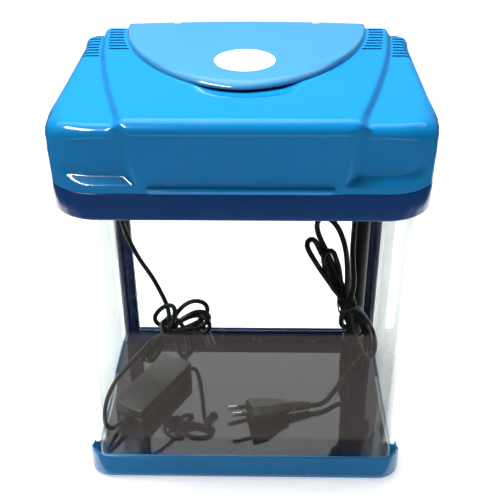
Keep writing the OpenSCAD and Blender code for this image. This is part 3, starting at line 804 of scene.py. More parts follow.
@dataclass(frozen=True)
class Studio:
    """The floor, the lights and the camera."""

    eye: Point = (0.01768, -0.59558, 0.52624)
    pitch: float = -30.54
    yaw: float = -1.30
    roll: float = -0.34
    lens: float = 56.94
    card_edge: float = -0.297
    floor_glow: float = 0.52
    near_colour: Point = (0.52, 0.44, 0.40)

    def camera(self) -> None:
        """Stands the camera where the view is taken from."""
        data = bpy.data.cameras.new("camera")
        data.lens = self.lens
        data.sensor_width = 36
        data.clip_start = 0.01
        eye = bpy.data.objects.new("camera", data)
        bpy.context.scene.collection.objects.link(eye)
        yaw, pitch, roll = (math.radians(a) for a in (self.yaw, self.pitch, self.roll))
        forward = Vector((math.sin(yaw) * math.cos(pitch), math.cos(yaw) * math.cos(pitch), math.sin(pitch)))
        right = Vector((math.cos(yaw), -math.sin(yaw), 0))
        up = right.cross(forward)
        side = right * math.cos(roll) + up * math.sin(roll)
        top = -right * math.sin(roll) + up * math.cos(roll)
        turn = Matrix((side, top, -forward)).transposed().to_4x4()
        eye.matrix_world = Matrix.Translation(self.eye) @ turn
        bpy.context.scene.camera = eye

    def floor(self) -> None:
        """Lays a plain pale floor and stands the cards that only reflections see."""
        deselect_all()
        bpy.ops.mesh.primitive_plane_add(size=16, location=(0, 0, 0))
        floor = adopt("floor")
        pale = Nodes("pale floor")
        shader = pale.add("BsdfPrincipled", Base_Color=(0.80, 0.80, 0.80, 1), Roughness=0.7)
        shader.inputs["Emission Color"].default_value = (1, 1, 1, 1)
        shader.inputs["Emission Strength"].default_value = self.floor_glow
        floor.data.materials.append(pale.close(shader.outputs[0]))
        far, near, foot = self.card_edge, -0.137, -0.101
        self.card("far_card", (0, far - 1, 0.002), (2, 1), 0.0, (0.012, 0.012, 0.012))
        self.card("near_card", (0, (near + far) / 2, 0.002), (2, (near - far) / 2), 0.0, self.near_colour)
        self.card("foot_card", (0, (foot + near) / 2, 0.002), (2, (foot - near) / 2), 0.0, (0.13, 0.13, 0.14))
        self.card("back_card", (0, 0.30, 0.56), (1.5, 0.26), 90.0, (0.10, 0.12, 0.13))
        for side in (-1, 1):
            self.card("side_card", (0.55 * side, 0.15, 0.33), (0.7, 0.32), 90.0, (0.02, 0.02, 0.02), 90.0)

    def card(self, name: str, place: Point, half: Pair, tilt: float, colour: Point,
             turn: float = 0.0) -> None:
        """Stands a grey card that only reflections see.

        Args:
            name: The card's name.
            place: Its middle.
            half: Half its width and half its height.
            tilt: How far it is turned up, in degrees.
            colour: What it shines back.
            turn: How far it is turned about Z, in degrees.
        """
        deselect_all()
        bpy.ops.mesh.primitive_plane_add(size=2, location=place,
                                         rotation=(math.radians(tilt), 0, math.radians(turn)))
        bpy.context.active_object.scale = (*half, 1)
        card = adopt(name)
        paper = Nodes(name)
        shader = paper.add("Emission", Color=(*colour, 1), Strength=1.0)
        card.data.materials.append(paper.close(shader.outputs[0]))
        card.visible_camera = False
        card.visible_diffuse = False
        card.visible_transmission = tilt == 0 or turn != 0
        card.visible_shadow = False

    def light(self, name: str, place: Point, aim: Point, size: Pair, power: float) -> Piece:
        """Hangs one rectangular soft light.

        Args:
            name: The light's name.
            place: Where it hangs.
            aim: What it faces.
            size: Its width and height.
            power: Its power in watts.

        Returns:
            The light.
        """
        data = bpy.data.lights.new(name, "AREA")
        data.shape = "RECTANGLE"
        data.size, data.size_y = size
        data.energy = power
        lamp = bpy.data.objects.new(name, data)
        bpy.context.scene.collection.objects.link(lamp)
        lamp.matrix_world = Matrix.Translation(place) @ (
            (Vector(aim) - Vector(place)).to_track_quat("-Z", "Y").to_matrix().to_4x4())
        return lamp

    def lights(self) -> None:
        """A bright pale room, a broad light overhead and a narrow window at the upper left."""
        world = bpy.data.worlds.new("room")
        world.use_nodes = True
        tree = world.node_tree
        where = tree.nodes.new("ShaderNodeTexCoord")
        parts = tree.nodes.new("ShaderNodeSeparateXYZ")
        ramp = tree.nodes.new("ShaderNodeValToRGB")
        shift = tree.nodes.new("ShaderNodeMath")
        shift.operation = "MULTIPLY_ADD"
        shift.inputs[1].default_value = shift.inputs[2].default_value = 0.5
        tree.links.new(where.outputs["Generated"], parts.inputs[0])
        tree.links.new(parts.outputs["Y"], shift.inputs[0])
        tree.links.new(shift.outputs[0], ramp.inputs[0])
        for element, (place, grey) in zip(ramp.color_ramp.elements, ((0.42, 0.02), (0.72, 1.0))):
            element.position = place
            element.color = (grey, grey, grey, 1)
        tree.links.new(ramp.outputs[0], tree.nodes["Background"].inputs["Color"])
        tree.nodes["Background"].inputs["Strength"].default_value = 1.3
        bpy.context.scene.world = world
        bpy.context.scene.view_settings.view_transform = "Standard"
        overhead = self.light("overhead", (-0.12, 0.12, 1.15), (0, 0.02, 0.2), (0.6, 0.6), 26)
        overhead.visible_glossy = False
        window = self.light("window", (-0.62, -0.55, 1.15), (-0.05, -0.05, 0.33), (0.7, 0.16), 18)
        window.visible_diffuse = False


# ---------------------------------------------------------------- leads


@dataclass
class Lead:
    """A round lead that follows a path."""

    name: str
    diameter: float

    def curve(self, points: np.ndarray) -> Piece:
        """Draws the lead as one open curve with its real thickness."""
        data = bpy.data.curves.new(self.name, "CURVE")
        data.dimensions = "3D"
        data.bevel_depth = self.diameter / 2
        data.bevel_resolution = 4
        data.use_fill_caps = True
        spline = data.splines.new("POLY")
        spline.points.add(len(points) - 1)
        for item, point in zip(spline.points, points):
            item.co = (*point, 1)
        spline.use_smooth = True
        piece = bpy.data.objects.new(self.name, data)
        bpy.context.scene.collection.objects.link(piece)
        return piece

    def gathered(self, rough: np.ndarray, start: Point, end: Point) -> np.ndarray:
        """Settles the strands between two places against each other, and holds the rest of the lead.

        Args:
            rough: Evenly spaced points along the whole lead.
            start: Where its bundle begins.
            end: Where its bundle ends.

        Returns:
            The lead's points.
        """
        first, last = (int(np.argmin(np.linalg.norm(rough - np.array(at), axis=1))) for at in (start, end))
        index = np.arange(len(rough))
        fade = 6
        held = np.clip(np.maximum((first - index) / fade, (index - last) / fade), 0, 1)
        return settled(rough, self.diameter, held)


def length_of(points: np.ndarray) -> float:
    """The length of a path."""
    return float(np.linalg.norm(np.diff(points, axis=0), axis=1).sum())


@dataclass
class LampLead(Lead):
    """The lamp's thin lead: from the collar's grommet, through its bundle, to the driver."""

    name: str = "lamp_lead"
    diameter: float = 0.0045
    bundle_at: Point = (-0.075, 0.025, 0.075)
    bundle_tilt: float = 20.0
    upper: tuple[Point, ...] = mm(
        (-124.5, 62, 261), (-124.3, 62, 248), (-123, 61.5, 225), (-120.5, 60.5, 195), (-117.5, 59, 170),
        (-111, 54, 152), (-102, 48, 136), (-90, 41, 120), (-81, 35, 104), (-76, 31, 93))
    lower: tuple[Point, ...] = mm(
        (-86, 22, 67), (-94, 21.5, 58), (-102, 19, 50), (-112, 6, 44), (-119, -6, 41), (-124, -16, 40),
        (-128, -30, 38), (-129.5, -41, 36), (-129.5, -51, 32.5), (-128, -58.5, 28), (-124, -61.5, 23.5),
        (-119, -57, 20.8), (-115.3, -50, 20))
    # Each point of the bundle: to the right, up its plane, and out of it towards the front.
    loops: tuple[Point, ...] = mm(
        (1, 10, 0), (0, 1, 2), (-6, -10, 3), (-17, -21, 2), (-28, -30, 0), (-34, -37, -2), (-29, -40, -3),
        (-21, -32, -2), (-11, -18, 0), (-3, -5, 1), (3, 8, 2), (11, 19, 3), (20, 26, 2), (30, 27, 1),
        (38, 23, 0), (40, 15, -1), (34, 7, -2), (21, -1, -3), (8, -6, -4), (-6, -11, -4), (-18, -22, -4),
        (-26, -34, -3), (-24, -41, 0), (-16, -36, 2), (-8, -22, 4), (-1, -7, 5), (5, 7, 5), (9, 18, 4),
        (6, 25, 3), (-2, 23, 2), (-10, 16, 1), (-17, 8, 0), (-15, 2, -1), (-6, -2, -2), (6, 2, -3),
        (17, 8, -3), (28, 12, -2), (38, 11, 0), (43, 4, 2), (39, -5, 3), (28, -8, 4), (15, -5, 5),
        (3, -3, 5), (-6, 2, 3), (-4, 7, -2), (4, 7, -5), (12, 2, -5), (16, -9, -3), (19, -21, 0),
        (19, -32, 2), (14, -37, 3), (10, -29, 2), (7, -16, 1), (4, -4, 4), (6, 5, 7), (15, 10, 6),
        (26, 17, 5), (36, 17, 3), (41, 9, 1), (37, 1, -1), (26, -2, -1), (14, -2, 1), (4, -8, 5),
        (-5, -7, 7), (-8, 1, 5), (-4, 7, 1), (3, 6, -5), (7, -1, -8), (3, -8, -6), (-5, -10, -1))

    def place(self, point: Point) -> Point:
        """A point of the bundle's plane in the object's frame."""
        tilt = math.radians(self.bundle_tilt)
        across, up, out = point
        x, y, z = self.bundle_at
        return (x + across, y + up * math.sin(tilt) - out * math.cos(tilt),
                z + up * math.cos(tilt) + out * math.sin(tilt))

    def path(self) -> np.ndarray:
        """The whole lead, its bundle's strands settled against each other."""
        bundle = [self.place(p) for p in self.loops]
        rough = spaced(curve_through([*self.upper, *bundle, *self.lower]), 0.0026)
        return self.gathered(rough, self.upper[-1], self.lower[0])


@dataclass
class TailLead(Lead):
    """The driver's short tail lead, which ends in a small round socket."""

    name: str = "driver_tail_lead"
    diameter: float = 0.0045
    route: tuple[Point, ...] = mm(
        (-63.7, 45, 20), (-60.5, 51, 20.3), (-56.5, 57, 23.5), (-53, 60, 33), (-50.5, 57, 47),
        (-48, 48, 64), (-46.5, 40, 73), (-44, 32, 75), (-41.5, 26.5, 71.5))

    def path(self) -> np.ndarray:
        """The lead's points."""
        return spaced(curve_through(self.route), 0.0026)


@dataclass
class PumpLead(Lead):
    """The pump's mains lead: from the filter's gland, through its tied hank, to the plug."""

    name: str = "pump_lead"
    diameter: float = 0.005
    upper: tuple[Point, ...] = mm(
        (97, 27, 194), (97, 26.5, 186), (96.5, 23.5, 175), (96, 18.5, 162), (97, 14, 148), (98.5, 12, 136),
        (98, 11, 124))
    lower: tuple[Point, ...] = mm(
        (110, 11, 46.5), (105.5, 11, 41.5), (101, 10.5, 35.5), (96, 8.5, 28), (90.5, 3.5, 23),
        (84, -4.5, 19.5), (77.5, -12.5, 17), (70, -18, 15.6), (61.9, -19.1, 15.7))
    # Each turn of the hank: to the right, to the back, and up.
    turns: tuple[Point, ...] = mm(
        (95, 10, 113), (94, 8, 104), (99, 6, 88), (107, 6, 68), (113, 7, 52), (119, 9, 44), (124, 11, 52),
        (122, 12, 70), (114, 12, 90), (101, 11, 106), (89, 8, 118), (77, 6, 136), (63, 6, 158),
        (53, 7, 175), (49, 9, 185), (54, 11, 190), (61, 12, 182), (69, 13, 164), (80, 13, 138),
        (88, 12, 120), (93, 13, 106), (97, 14, 88), (104, 15, 66), (112, 15, 50), (118, 14, 48),
        (120, 12, 64), (116, 10, 86), (104, 9, 102), (93, 11, 115), (84, 13, 135), (73, 14, 162),
        (63, 15, 184), (60, 15, 198), (66, 13, 206), (75, 11, 203), (84, 10, 188), (90, 10, 166),
        (92, 10, 140), (91, 10, 118), (89, 9, 102), (87, 9, 86), (91, 9, 77), (98, 10, 82), (99, 12, 96),
        (93, 14, 110), (87, 15, 130), (83, 14, 152), (78, 13, 170), (72, 12, 178), (67, 12, 170),
        (72, 12, 150), (82, 12, 130), (92, 13, 112), (103, 14, 98), (113, 14, 78), (118, 13, 60),
        (116, 12, 50))

    def path(self) -> np.ndarray:
        """The whole lead, its hank's strands settled against each other."""
        rough = spaced(curve_through([*self.upper, *self.turns, *self.lower]), 0.0033)
        return self.gathered(rough, self.upper[-1], self.lower[0])


class Leads:
    def build(self, shop: Workshop) -> None:
        """Makes the lamp's lead, the driver's tail and the pump's lead.

        Args:
            shop: Where finished pieces are delivered.
        """
        lamp, tail, pump = LampLead(), TailLead(), PumpLead()
        lamp_path, tail_path, pump_path = lamp.path(), tail.path(), pump.path()
        piece = shop.deliver(lamp.curve(lamp_path), "tank", "lead_black",
                             "lamp_lead_upper", "lamp_hank", "lamp_lead_lower")
        lamp.upper[0]
        LOG.info("lamp lead %.3f m", length_of(lamp_path))
        piece = shop.deliver(tail.curve(tail_path), "tank", "lead_black", "tail_lead")
        tail.route[0]
        piece = shop.deliver(pump.curve(pump_path), "tank", "lead_black",
                             "pump_lead_upper", "pump_hank", "pump_lead_lower")
        pump.upper[0]
        LOG.info("pump lead %.3f m", length_of(pump_path))
        Tie().build(shop, pump_path, pump.diameter)


# ---------------------------------------------------------------- driver, plug, filter and lamp


# Where the lamp's screws and the middles of the hood's hinges are.
LAMP_SCREWS = [(x, y) for x in (-0.084, 0.084) for y in (-0.079, -0.055)]
HINGE_MIDDLES = (-0.080, 0.080)


@dataclass
class Driver:
    """The lamp's in-line driver: two moulded halves, two ribbed reliefs and the tail's socket."""

    at: Point = (-0.0895, -0.0025, 0.010)
    yaw: float = 61.5
    case: Plan = Plan(0.084, 0.033, 0.003, 0.003, 6, 6)
    height: float = 0.020
    wall: float = 0.0025

    def half(self, name: str, foot: float, top: float, upward: bool) -> Piece:
        """One half of the case, hollow, with a rounded outer edge and a fine chamfer at the parting line."""
        end, seam = (foot, top) if upward else (top, foot)
        way = 1 if upward else -1
        hollow = self.case.grown(-self.wall)
        rings = [hollow.outline(end + way * self.wall), hollow.outline(seam),
                 self.case.grown(-0.0004).outline(seam), self.case.outline(seam - way * 0.0004),
                 self.case.outline(end + way * 0.0014), self.case.grown(-0.0002).outline(end + way * 0.0008),
                 self.case.grown(-0.0006).outline(end + way * 0.0003), self.case.grown(-0.0013).outline(end)]
        piece = loft(name, rings, capped=True)
        piece.data.transform(placed(self.at, self.yaw))
        return tidy_mesh(piece)

    def relief(self, name: str, side: int) -> Piece:
        """A rubber relief with two ribs, on one end of the case."""
        profile = mm(
            (-4, 3.9), (0, 3.9), (0, 5), (0.3, 5.2), (1.7, 5.2), (2, 5), (2.2, 3.4), (3.9, 3.4),
            (4.1, 4.6), (5.9, 4.5), (6.1, 3.3), (7.9, 3.3), (8.1, 4.3), (9.8, 4.1), (10.1, 3.2),
            (11.8, 3), (12, 2.7))
        place = placed(self.at, self.yaw) @ placed((0, 0, self.height / 2), 0, 90 * side)
        return tidy_mesh(turned(name, place @ Matrix.Translation((0, 0, self.case.width / 2)), profile))

    def build(self, shop: Workshop) -> None:
        """Makes the driver and its socket."""
        seam = self.height / 2
        shop.deliver(self.half("driver_lower", 0.0001, seam - 0.0002, True), "tank", "driver_black",
                     "driver_base")
        shop.deliver(self.half("driver_upper", seam, self.height, False), "tank", "driver_black",
                     "driver_cover")
        shop.deliver(self.relief("relief_front", -1), "tank", "rubber_black", "driver_front_relief")
        shop.deliver(self.relief("relief_back", 1), "tank", "rubber_black", "driver_back_relief")
        place = placed((-0.0415, 0.0265, 0.0715), -40, 150)
        socket = turned("socket", place, mm(
            (0, 2.6), (0.6, 3.2), (4.6, 3.3), (5.4, 4.3), (6, 4.6), (18.6, 4.6), (19, 4.3), (19, 2.9),
            (18.6, 2.8), (9, 2.8)))
        shop.deliver(tidy_mesh(socket), "tank", "driver_black", "tail_socket")


@dataclass
class Plug:
    """The flat two-pole mains plug: body, ribbed tail, sleeves and pins."""

    face: Point = (0.0035, -0.0335, 0.0219)
    yaw: float = 14.0
    pitch: float = 6.0
    roll: float = -22.0
    pin_gap: float = 0.0186
    # Each station of the body: along it, its width and its thickness.
    stations: tuple[Point, ...] = mm(
        (0, 33.6, 12.4), (0.4, 34.6, 13.4), (1, 35, 13.8), (9.5, 35, 13.8), (12.5, 34.2, 13.6),
        (16.5, 31.5, 13), (21.5, 27, 12.6), (26.5, 22.2, 12.4), (31, 19, 12.2), (35, 17.2, 12),
        (36.4, 16.4, 11.4), (37, 15, 10))

    def place(self) -> Matrix:
        """The plug's own frame, with X along its body."""
        return placed(self.face, self.yaw, self.pitch, self.roll)

    def section(self, along: float, width: float, thick: float) -> np.ndarray:
        """A six-sided section with rounded corners."""
        w, t = width / 2, thick / 2
        corners = [(-w, 0, 0.0016), (-w * 0.68, t, 0.0022), (w * 0.68, t, 0.0022), (w, 0, 0.0016),
                   (w * 0.68, -t, 0.0022), (-w * 0.68, -t, 0.0022)]
        return np.array([(along, y, z) for y, z in rounded_profile(corners, 4)])

    def build(self, shop: Workshop) -> None:
        """Makes the plug's pieces."""
        body = loft("plug", [self.section(*station) for station in self.stations], capped=True)
        body.data.transform(self.place())
        profile = [(0.0355, 0.0050), (0.0392, 0.0048)]
        for index in range(4):
            start, radius = 0.0397 + 0.005 * index, 0.0051 - 0.0003 * index
            profile += [(start, radius - 0.0012), (start + 0.0012, radius - 0.0012), (start + 0.0014, radius),
                        (start + 0.0038, radius - 0.0002), (start + 0.0041, radius - 0.0012)]
        profile += [(0.0597, 0.0031), (0.0600, 0.0028)]
        tail = turned("tail", self.place() @ placed((0, 0, 0), 0, 90), profile)
        shop.deliver(tidy_mesh(joined("mains_plug_body", [body, tail])), "tank", "plug_black", "plug_body")
        sleeves, pins = [], []
        for y in (-self.pin_gap / 2, self.pin_gap / 2):
            place = self.place() @ Matrix.Translation((0, y, 0)) @ placed((0, 0, 0), 0, -90)
            sleeves.append(turned("sleeve", place, mm((0, 1.9), (9.3, 1.9), (9.6, 1.7), (9.6, 1.5), (0, 1.5)),
                                  True, 28))
            pins.append(turned("pin", place, mm(
                (0, 1.5), (9.6, 1.5), (9.6, 1.8), (9.9, 2), (17.6, 2), (18.3, 1.75), (18.7, 1.3), (19, 0.7)),
                sides=28))
        shop.deliver(tidy_mesh(joined("pin_sleeves", sleeves)), "tank", "plug_black", "plug_sleeves")
        shop.deliver(tidy_mesh(joined("pins", pins)), "tank", "pin_nickel", "plug_pins")


@dataclass
class Tie:
    """The band round the pump lead's hank."""

    at: Point = (0.090, 0.011, 0.110)
    tilt: float = -22.0
    half_height: float = 0.0015
    wall: float = 0.0011

    def build(self, shop: Workshop, strands: np.ndarray, diameter: float) -> None:
        """Fits the band to the strands that pass its plane.

        Args:
            shop: Where finished pieces are delivered.
            strands: The lead's points.
            diameter: The lead's diameter.
        """
        place = placed(self.at, 0, self.tilt)
        turn = np.array(place.inverted())
        local = strands @ turn[:3, :3].T + turn[:3, 3]
        near = local[(np.abs(local[:, 2]) < 0.002) & (np.abs(local[:, 0]) < 0.017)]
        low, high = near.min(axis=0), near.max(axis=0)
        width, depth = (high - low)[:2] + diameter + 0.0006
        plan = Plan(float(width), float(depth), 0.0028, 0.0028, 8, 4)
        h, t = self.half_height, self.wall
        section = rounded_profile([(-t, -h, 0.0003), (-t, h, 0.0003), (0, h, 0.0002), (0, -h, 0.0002)], 2)
        band = swept("band", plan, section)
        middle = (low + high) / 2
        band.data.transform(place @ Matrix.Translation((float(middle[0]), float(middle[1]), 0)))
        shop.deliver(tidy_mesh(band), "tank", "rubber_black", "pump_tie")


@dataclass
class PumpFilter:
    """The top filter's box, its media, the riser tube down to the strainer, and the flow knob."""

    riser: Pair = (0.1065, 0.049)
    knob: Pair = (0.076, 0.0745)
    gland: Pair = (0.097, 0.027)
    outlet: Pair = (0.0745, 0.223)
    hook: Pair = (0.268, 0.270)
    tube: float = 0.008
    cage: float = 0.0117

    def box(self, shop: Workshop) -> None:
        """The open box with its hook, and the cover with its grille."""
        low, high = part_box("filter_box")
        right, back, wall = 0.127, 0.083, 0.002
        body = rounded_box("filter_case", (low.x, low.y, low.z), (right, back, high.z), 0.002, 3)
        inner = rounded_box("inside", (low.x + wall, low.y + wall, low.z + wall),
                            (right - wall, back - wall, high.z + 0.01), 0.0012, 2)
        holes = [rod("hole", (*at, low.z - 0.002), (*at, low.z + 0.004), radius, sides)
                 for at, radius, sides in ((self.riser, self.tube + 0.0003, 40), (self.gland, 0.0036, 32))]
        y, z = self.outlet
        holes.append(rod("hole", (low.x - 0.002, y, z), (low.x + 0.004, y, z), 0.0052, 32))
        under, over = self.hook
        hook = rounded_box("hook", (right - 0.001, low.y, under), (high.x, high.y, over), 0.0006, 2)
        wing = rounded_box("hook", (low.x + 0.040, back - 0.001, under), (high.x - 0.001, high.y, over),
                           0.0006, 2)
        for tool in (inner, *holes):
            cut(body, [tool])
        piece = tidy_mesh(joined("filter_case", [body, hook, wing]), merge=1e-7)
        shop.deliver(piece, "tank", "pump_grey", "filter_box")
        low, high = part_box("filter_box_cover")
        lid = rounded_box("filter_lid", (low.x, low.y, high.z - 0.0024), high, 0.0009, 3)
        rim = rounded_box("rim", (low.x + 0.0033, low.y + 0.0033, low.z), (high.x - 0.0033, high.y - 0.0033,
                                                                          high.z - 0.0020), 0.0006, 2)
        hollow = rounded_box("hollow", (low.x + 0.0053, low.y + 0.0053, low.z - 0.01),
                             (high.x - 0.0053, high.y - 0.0053, high.z - 0.0024), 0.0006, 2)
        cut(rim, [hollow])
        cut(lid, [rim], "UNION")
        tools = [rod("bore", (*self.knob, low.z - 0.002), (*self.knob, high.z + 0.002), 0.00206, 28)]
        tools += [rounded_box("slot", (0.090 + 0.006 * k, 0.030, 0.28), (0.0925 + 0.006 * k, 0.058, 0.31),
                              0.001, 2)
                  for k in range(5)]
        cut(lid, tools)
        shop.deliver(tidy_mesh(lid, merge=1e-7), "tank", "pump_grey", "filter_box_cover")

    def media(self, shop: Workshop) -> None:
        """The foam and the felt cartridge, soft at their edges."""
        for node, name, slot in (("filter_sponge", "foam_block", "sponge"),
                                 ("carbon_cartridge", "felt_cartridge", "cartridge")):
            low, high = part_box(node)
            block = rounded_box(name, low, high, 0.0022, 4)
            with editing(block):
                bpy.ops.mesh.select_all(action="SELECT")
                bpy.ops.mesh.subdivide(number_cuts=3)
            for vertex in block.data.vertices:
                x, y, z = (c * 900 for c in vertex.co)
                wave = math.sin(x * 1.3 + y) * math.cos(z * 0.9 - y * 1.7)
                vertex.co -= vertex.normal * 0.0003 * (1 + wave)
            shop.deliver(tidy_mesh(block, 60), "tank", slot, node)

    def column(self, shop: Workshop) -> None:
        """The riser tube, its adaptor, the slotted strainer and its cap."""
        x, y = self.riser
        place = Matrix.Translation((x, y, 0))
        low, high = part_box("riser_tube")
        r, bore = self.tube, self.tube - 0.0014
        tube = turned("riser", place, [(low.z, r), (high.z - 0.0003, r), (high.z, r - 0.0003), (high.z, bore),
                                       (low.z, bore)], True, 48)
        shop.deliver(tidy_mesh(tube), "tank", "pump_black", "riser_tube")
        low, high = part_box("riser_adaptor")
        ring = turned("adaptor", place, [
            (low.z, self.cage - 0.0003), (low.z + 0.0003, self.cage), (low.z + 0.001, self.cage),
            (low.z + 0.0016, r + 0.0019), (high.z - 0.0006, r + 0.00185), (high.z, r + 0.0012),
            (high.z, r + 0.00005), (low.z + 0.001, r + 0.00005), (low.z + 0.001, r - 0.003),
            (low.z, r - 0.003)],
            True, 48)
        shop.deliver(tidy_mesh(ring), "tank", "pump_black", "riser_adaptor")
        low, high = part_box("strainer")
        cage = turned("strainer_cage", place, [
            (low.z, self.cage - 0.0003), (low.z + 0.0003, self.cage), (high.z - 0.0003, self.cage),
            (high.z, self.cage - 0.0003), (high.z, self.cage - 0.0018), (low.z, self.cage - 0.0018)],
            True, 72)
        tools = []
        for index in range(6):
            slot = rounded_box("slot", (-0.02, -0.0011, low.z + 0.0036), (0.02, 0.0011, high.z - 0.004),
                               0.0009, 3)
            slot.data.transform(place @ Matrix.Rotation(math.radians(30 * index), 4, "Z"))
            tools.append(slot)
        for slot in tools:
            cut(cage, [slot])
        shop.deliver(tidy_mesh(cage, merge=1e-7), "tank", "pump_black", "strainer")
        low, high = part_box("strainer_cap")
        wide = self.cage + 0.0006
        cap = turned("cap", place, [
            (low.z, wide - 0.0008), (low.z + 0.0008, wide), (low.z + 0.0038, wide),
            (low.z + 0.0043, wide - 0.0005),
            (low.z + 0.0043, self.cage - 0.002), (high.z - 0.0004, self.cage - 0.002),
            (high.z, self.cage - 0.0024)],
            sides=48)
        shop.deliver(tidy_mesh(cap), "tank", "pump_black", "strainer_cap")

    def fittings(self, shop: Workshop) -> None:
        """The gland, the outlet spout, and the knob with its ribbed grip."""
        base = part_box("filter_box")[0].z
        place = Matrix.Translation((*self.gland, 0))
        gland = turned("gland", place, [
            *mm((194, 2.9), (194.3, 3.2), (198, 3.6), (198.3, 4.4), (200.5, 4.4), (200.8, 3.7),
                (203.5, 3.9), (203.8, 4.7), (206, 4.7), (206.3, 4.1), (209, 4.4)),
            (base - 0.0004, 0.0052), (base, 0.0050), (base, 0.0035), (base + 0.002, 0.0035),
            (base + 0.002, 0.0048), (base + 0.0022, 0.0050), (base + 0.0042, 0.0050),
            (base + 0.0045, 0.0046)])
        shop.deliver(tidy_mesh(gland), "tank", "rubber_black", "pump_gland")
        place = Matrix.Translation((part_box("filter_box")[0].x, *self.outlet)) @ placed((0, 0, 0), 0, -90)
        spout = turned("spout", place, mm(
            (-2, 5), (0, 5.1), (0, 6.4), (0.2, 6.6), (1.4, 6.6), (1.6, 6.4), (1.6, 5.1), (9.6, 5.1),
            (10, 4.7), (10, 4.1), (9.8, 3.9), (-2, 3.9)), True)
        shop.deliver(tidy_mesh(spout), "tank", "pump_grey", "outlet_spout")
        low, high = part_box("flow_knob")
        turn = np.linspace(0, 2 * math.pi, 96, endpoint=False)
        grip = 1 - 0.035 * (0.5 + 0.5 * np.cos(turn * 24))
        rings = []
        for z, radius, ribs in ((low.z, 0.0068, 0), (low.z + 0.0004, 0.0073, 0), (low.z + 0.0010, 0.0075, 1),
                                (high.z - 0.0037, 0.0073, 1), (high.z - 0.0030, 0.0070, 0),
                                (high.z - 0.0025, 0.0064, 0)):
            reach = radius * (grip if ribs else np.ones(96))
            rings.append(np.column_stack([self.knob[0] + reach * np.cos(turn),
                                          self.knob[1] + reach * np.sin(turn),
                                          np.full(96, z)]))
        knob = loft("knob", rings, capped=True)
        bar = rounded_box("bar", (self.knob[0] - 0.0068, self.knob[1] - 0.0012, high.z - 0.0028),
                          (self.knob[0] + 0.0068, self.knob[1] + 0.0012, high.z), 0.0005, 2)
        shop.deliver(tidy_mesh(joined("flow_grip", [knob, bar])), "flow_valve", "knob_blue", "flow_knob")

    def build(self, shop: Workshop) -> None:
        """Makes the filter's pieces."""
        self.box(shop)
        self.media(shop)
        self.column(shop)
        self.fittings(shop)


@dataclass
class Lamp:
    """The hood's lamp: its housing, its lens, the lead inside the hood and the one across its hinge."""

    lead: float = 0.004
    route: tuple[Point, ...] = mm(
        (-111, 95, 282), (-110, 95, 296), (-108, 93, 312), (-104, 84, 322), (-98, 60, 322.5),
        (-92, 20, 320), (-86, -20, 317), (-80, -38, 312), (-76, -46.5, 308))
    over: tuple[Point, ...] = mm(
        (-124.5, 62, 266.5), (-124.5, 62.5, 271.5), (-123.5, 68, 276.5), (-118.5, 80, 279),
        (-113, 91, 279.5), (-111.2, 94.5, 281), (-111, 95, 283.2))

    def build(self, shop: Workshop) -> None:
        """Makes the lamp's pieces."""
        low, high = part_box("lamp_housing")
        housing = rounded_box("lamp_case", low, high, 0.002, 3)
        tools = [rounded_box("inside", (low.x + 0.003, low.y + 0.003, low.z - 0.01),
                             (high.x - 0.003, high.y - 0.003, high.z - 0.003), 0.0012, 2)]
        tools += [rod("hole", (x, y, high.z - 0.006), (x, y, high.z + 0.002), 0.0015, 20)
                  for x, y in LAMP_SCREWS]
        for tool in tools:
            cut(housing, [tool])
        shop.deliver(tidy_mesh(housing, merge=1e-7), "hood", "lamp_white", "lamp_housing")
        low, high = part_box("lamp_lens")
        lens = rounded_box("lamp_window", low, high, 0.0004, 2)
        shop.deliver(tidy_mesh(lens), "hood", "lens", "lamp_lens")
        inner = Lead("hood_lead", self.lead).curve(spaced(curve_through(self.route), 0.003))
        shop.deliver(inner, "hood", "lead_black", "lamp_inner_lead")
        self.crossing(shop)

    def crossing(self, shop: Workshop) -> None:
        """The short flexible length that crosses the hood's hinge, from the grommet to the hood."""
        choose(Lead("hinge_crossing_lead", self.lead).curve(spaced(curve_through(self.over), 0.001)))
        bpy.ops.object.convert(target="MESH")
        piece = bpy.context.active_object
        shop.palette.dress(piece, "lead_black")
        tidy_mesh(piece, 60)
        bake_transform(piece, "tank", "hood", self.over[1], self.over[-1])


# ---------------------------------------------------------------- hood


def meet(a: np.ndarray, b: np.ndarray, radius: np.ndarray | float) -> np.ndarray:
    """The shape that two shapes share, with its new edge rounded."""
    return (np.minimum(np.maximum(a, b), -radius)
            + np.hypot(np.maximum(a + radius, 0), np.maximum(b + radius, 0)))


def merge(a: np.ndarray, b: np.ndarray, radius: float) -> np.ndarray:
    """Two shapes as one, with a fillet where they meet."""
    return (np.maximum(np.minimum(a, b), radius)
            - np.hypot(np.maximum(radius - a, 0), np.maximum(radius - b, 0)))


def ease(x: np.ndarray | float, low: float, high: float) -> np.ndarray | float:
    """A smooth step from 0 at low to 1 at high."""
    t = np.clip((x - low) / (high - low), 0, 1)
    return t * t * (3 - 2 * t)


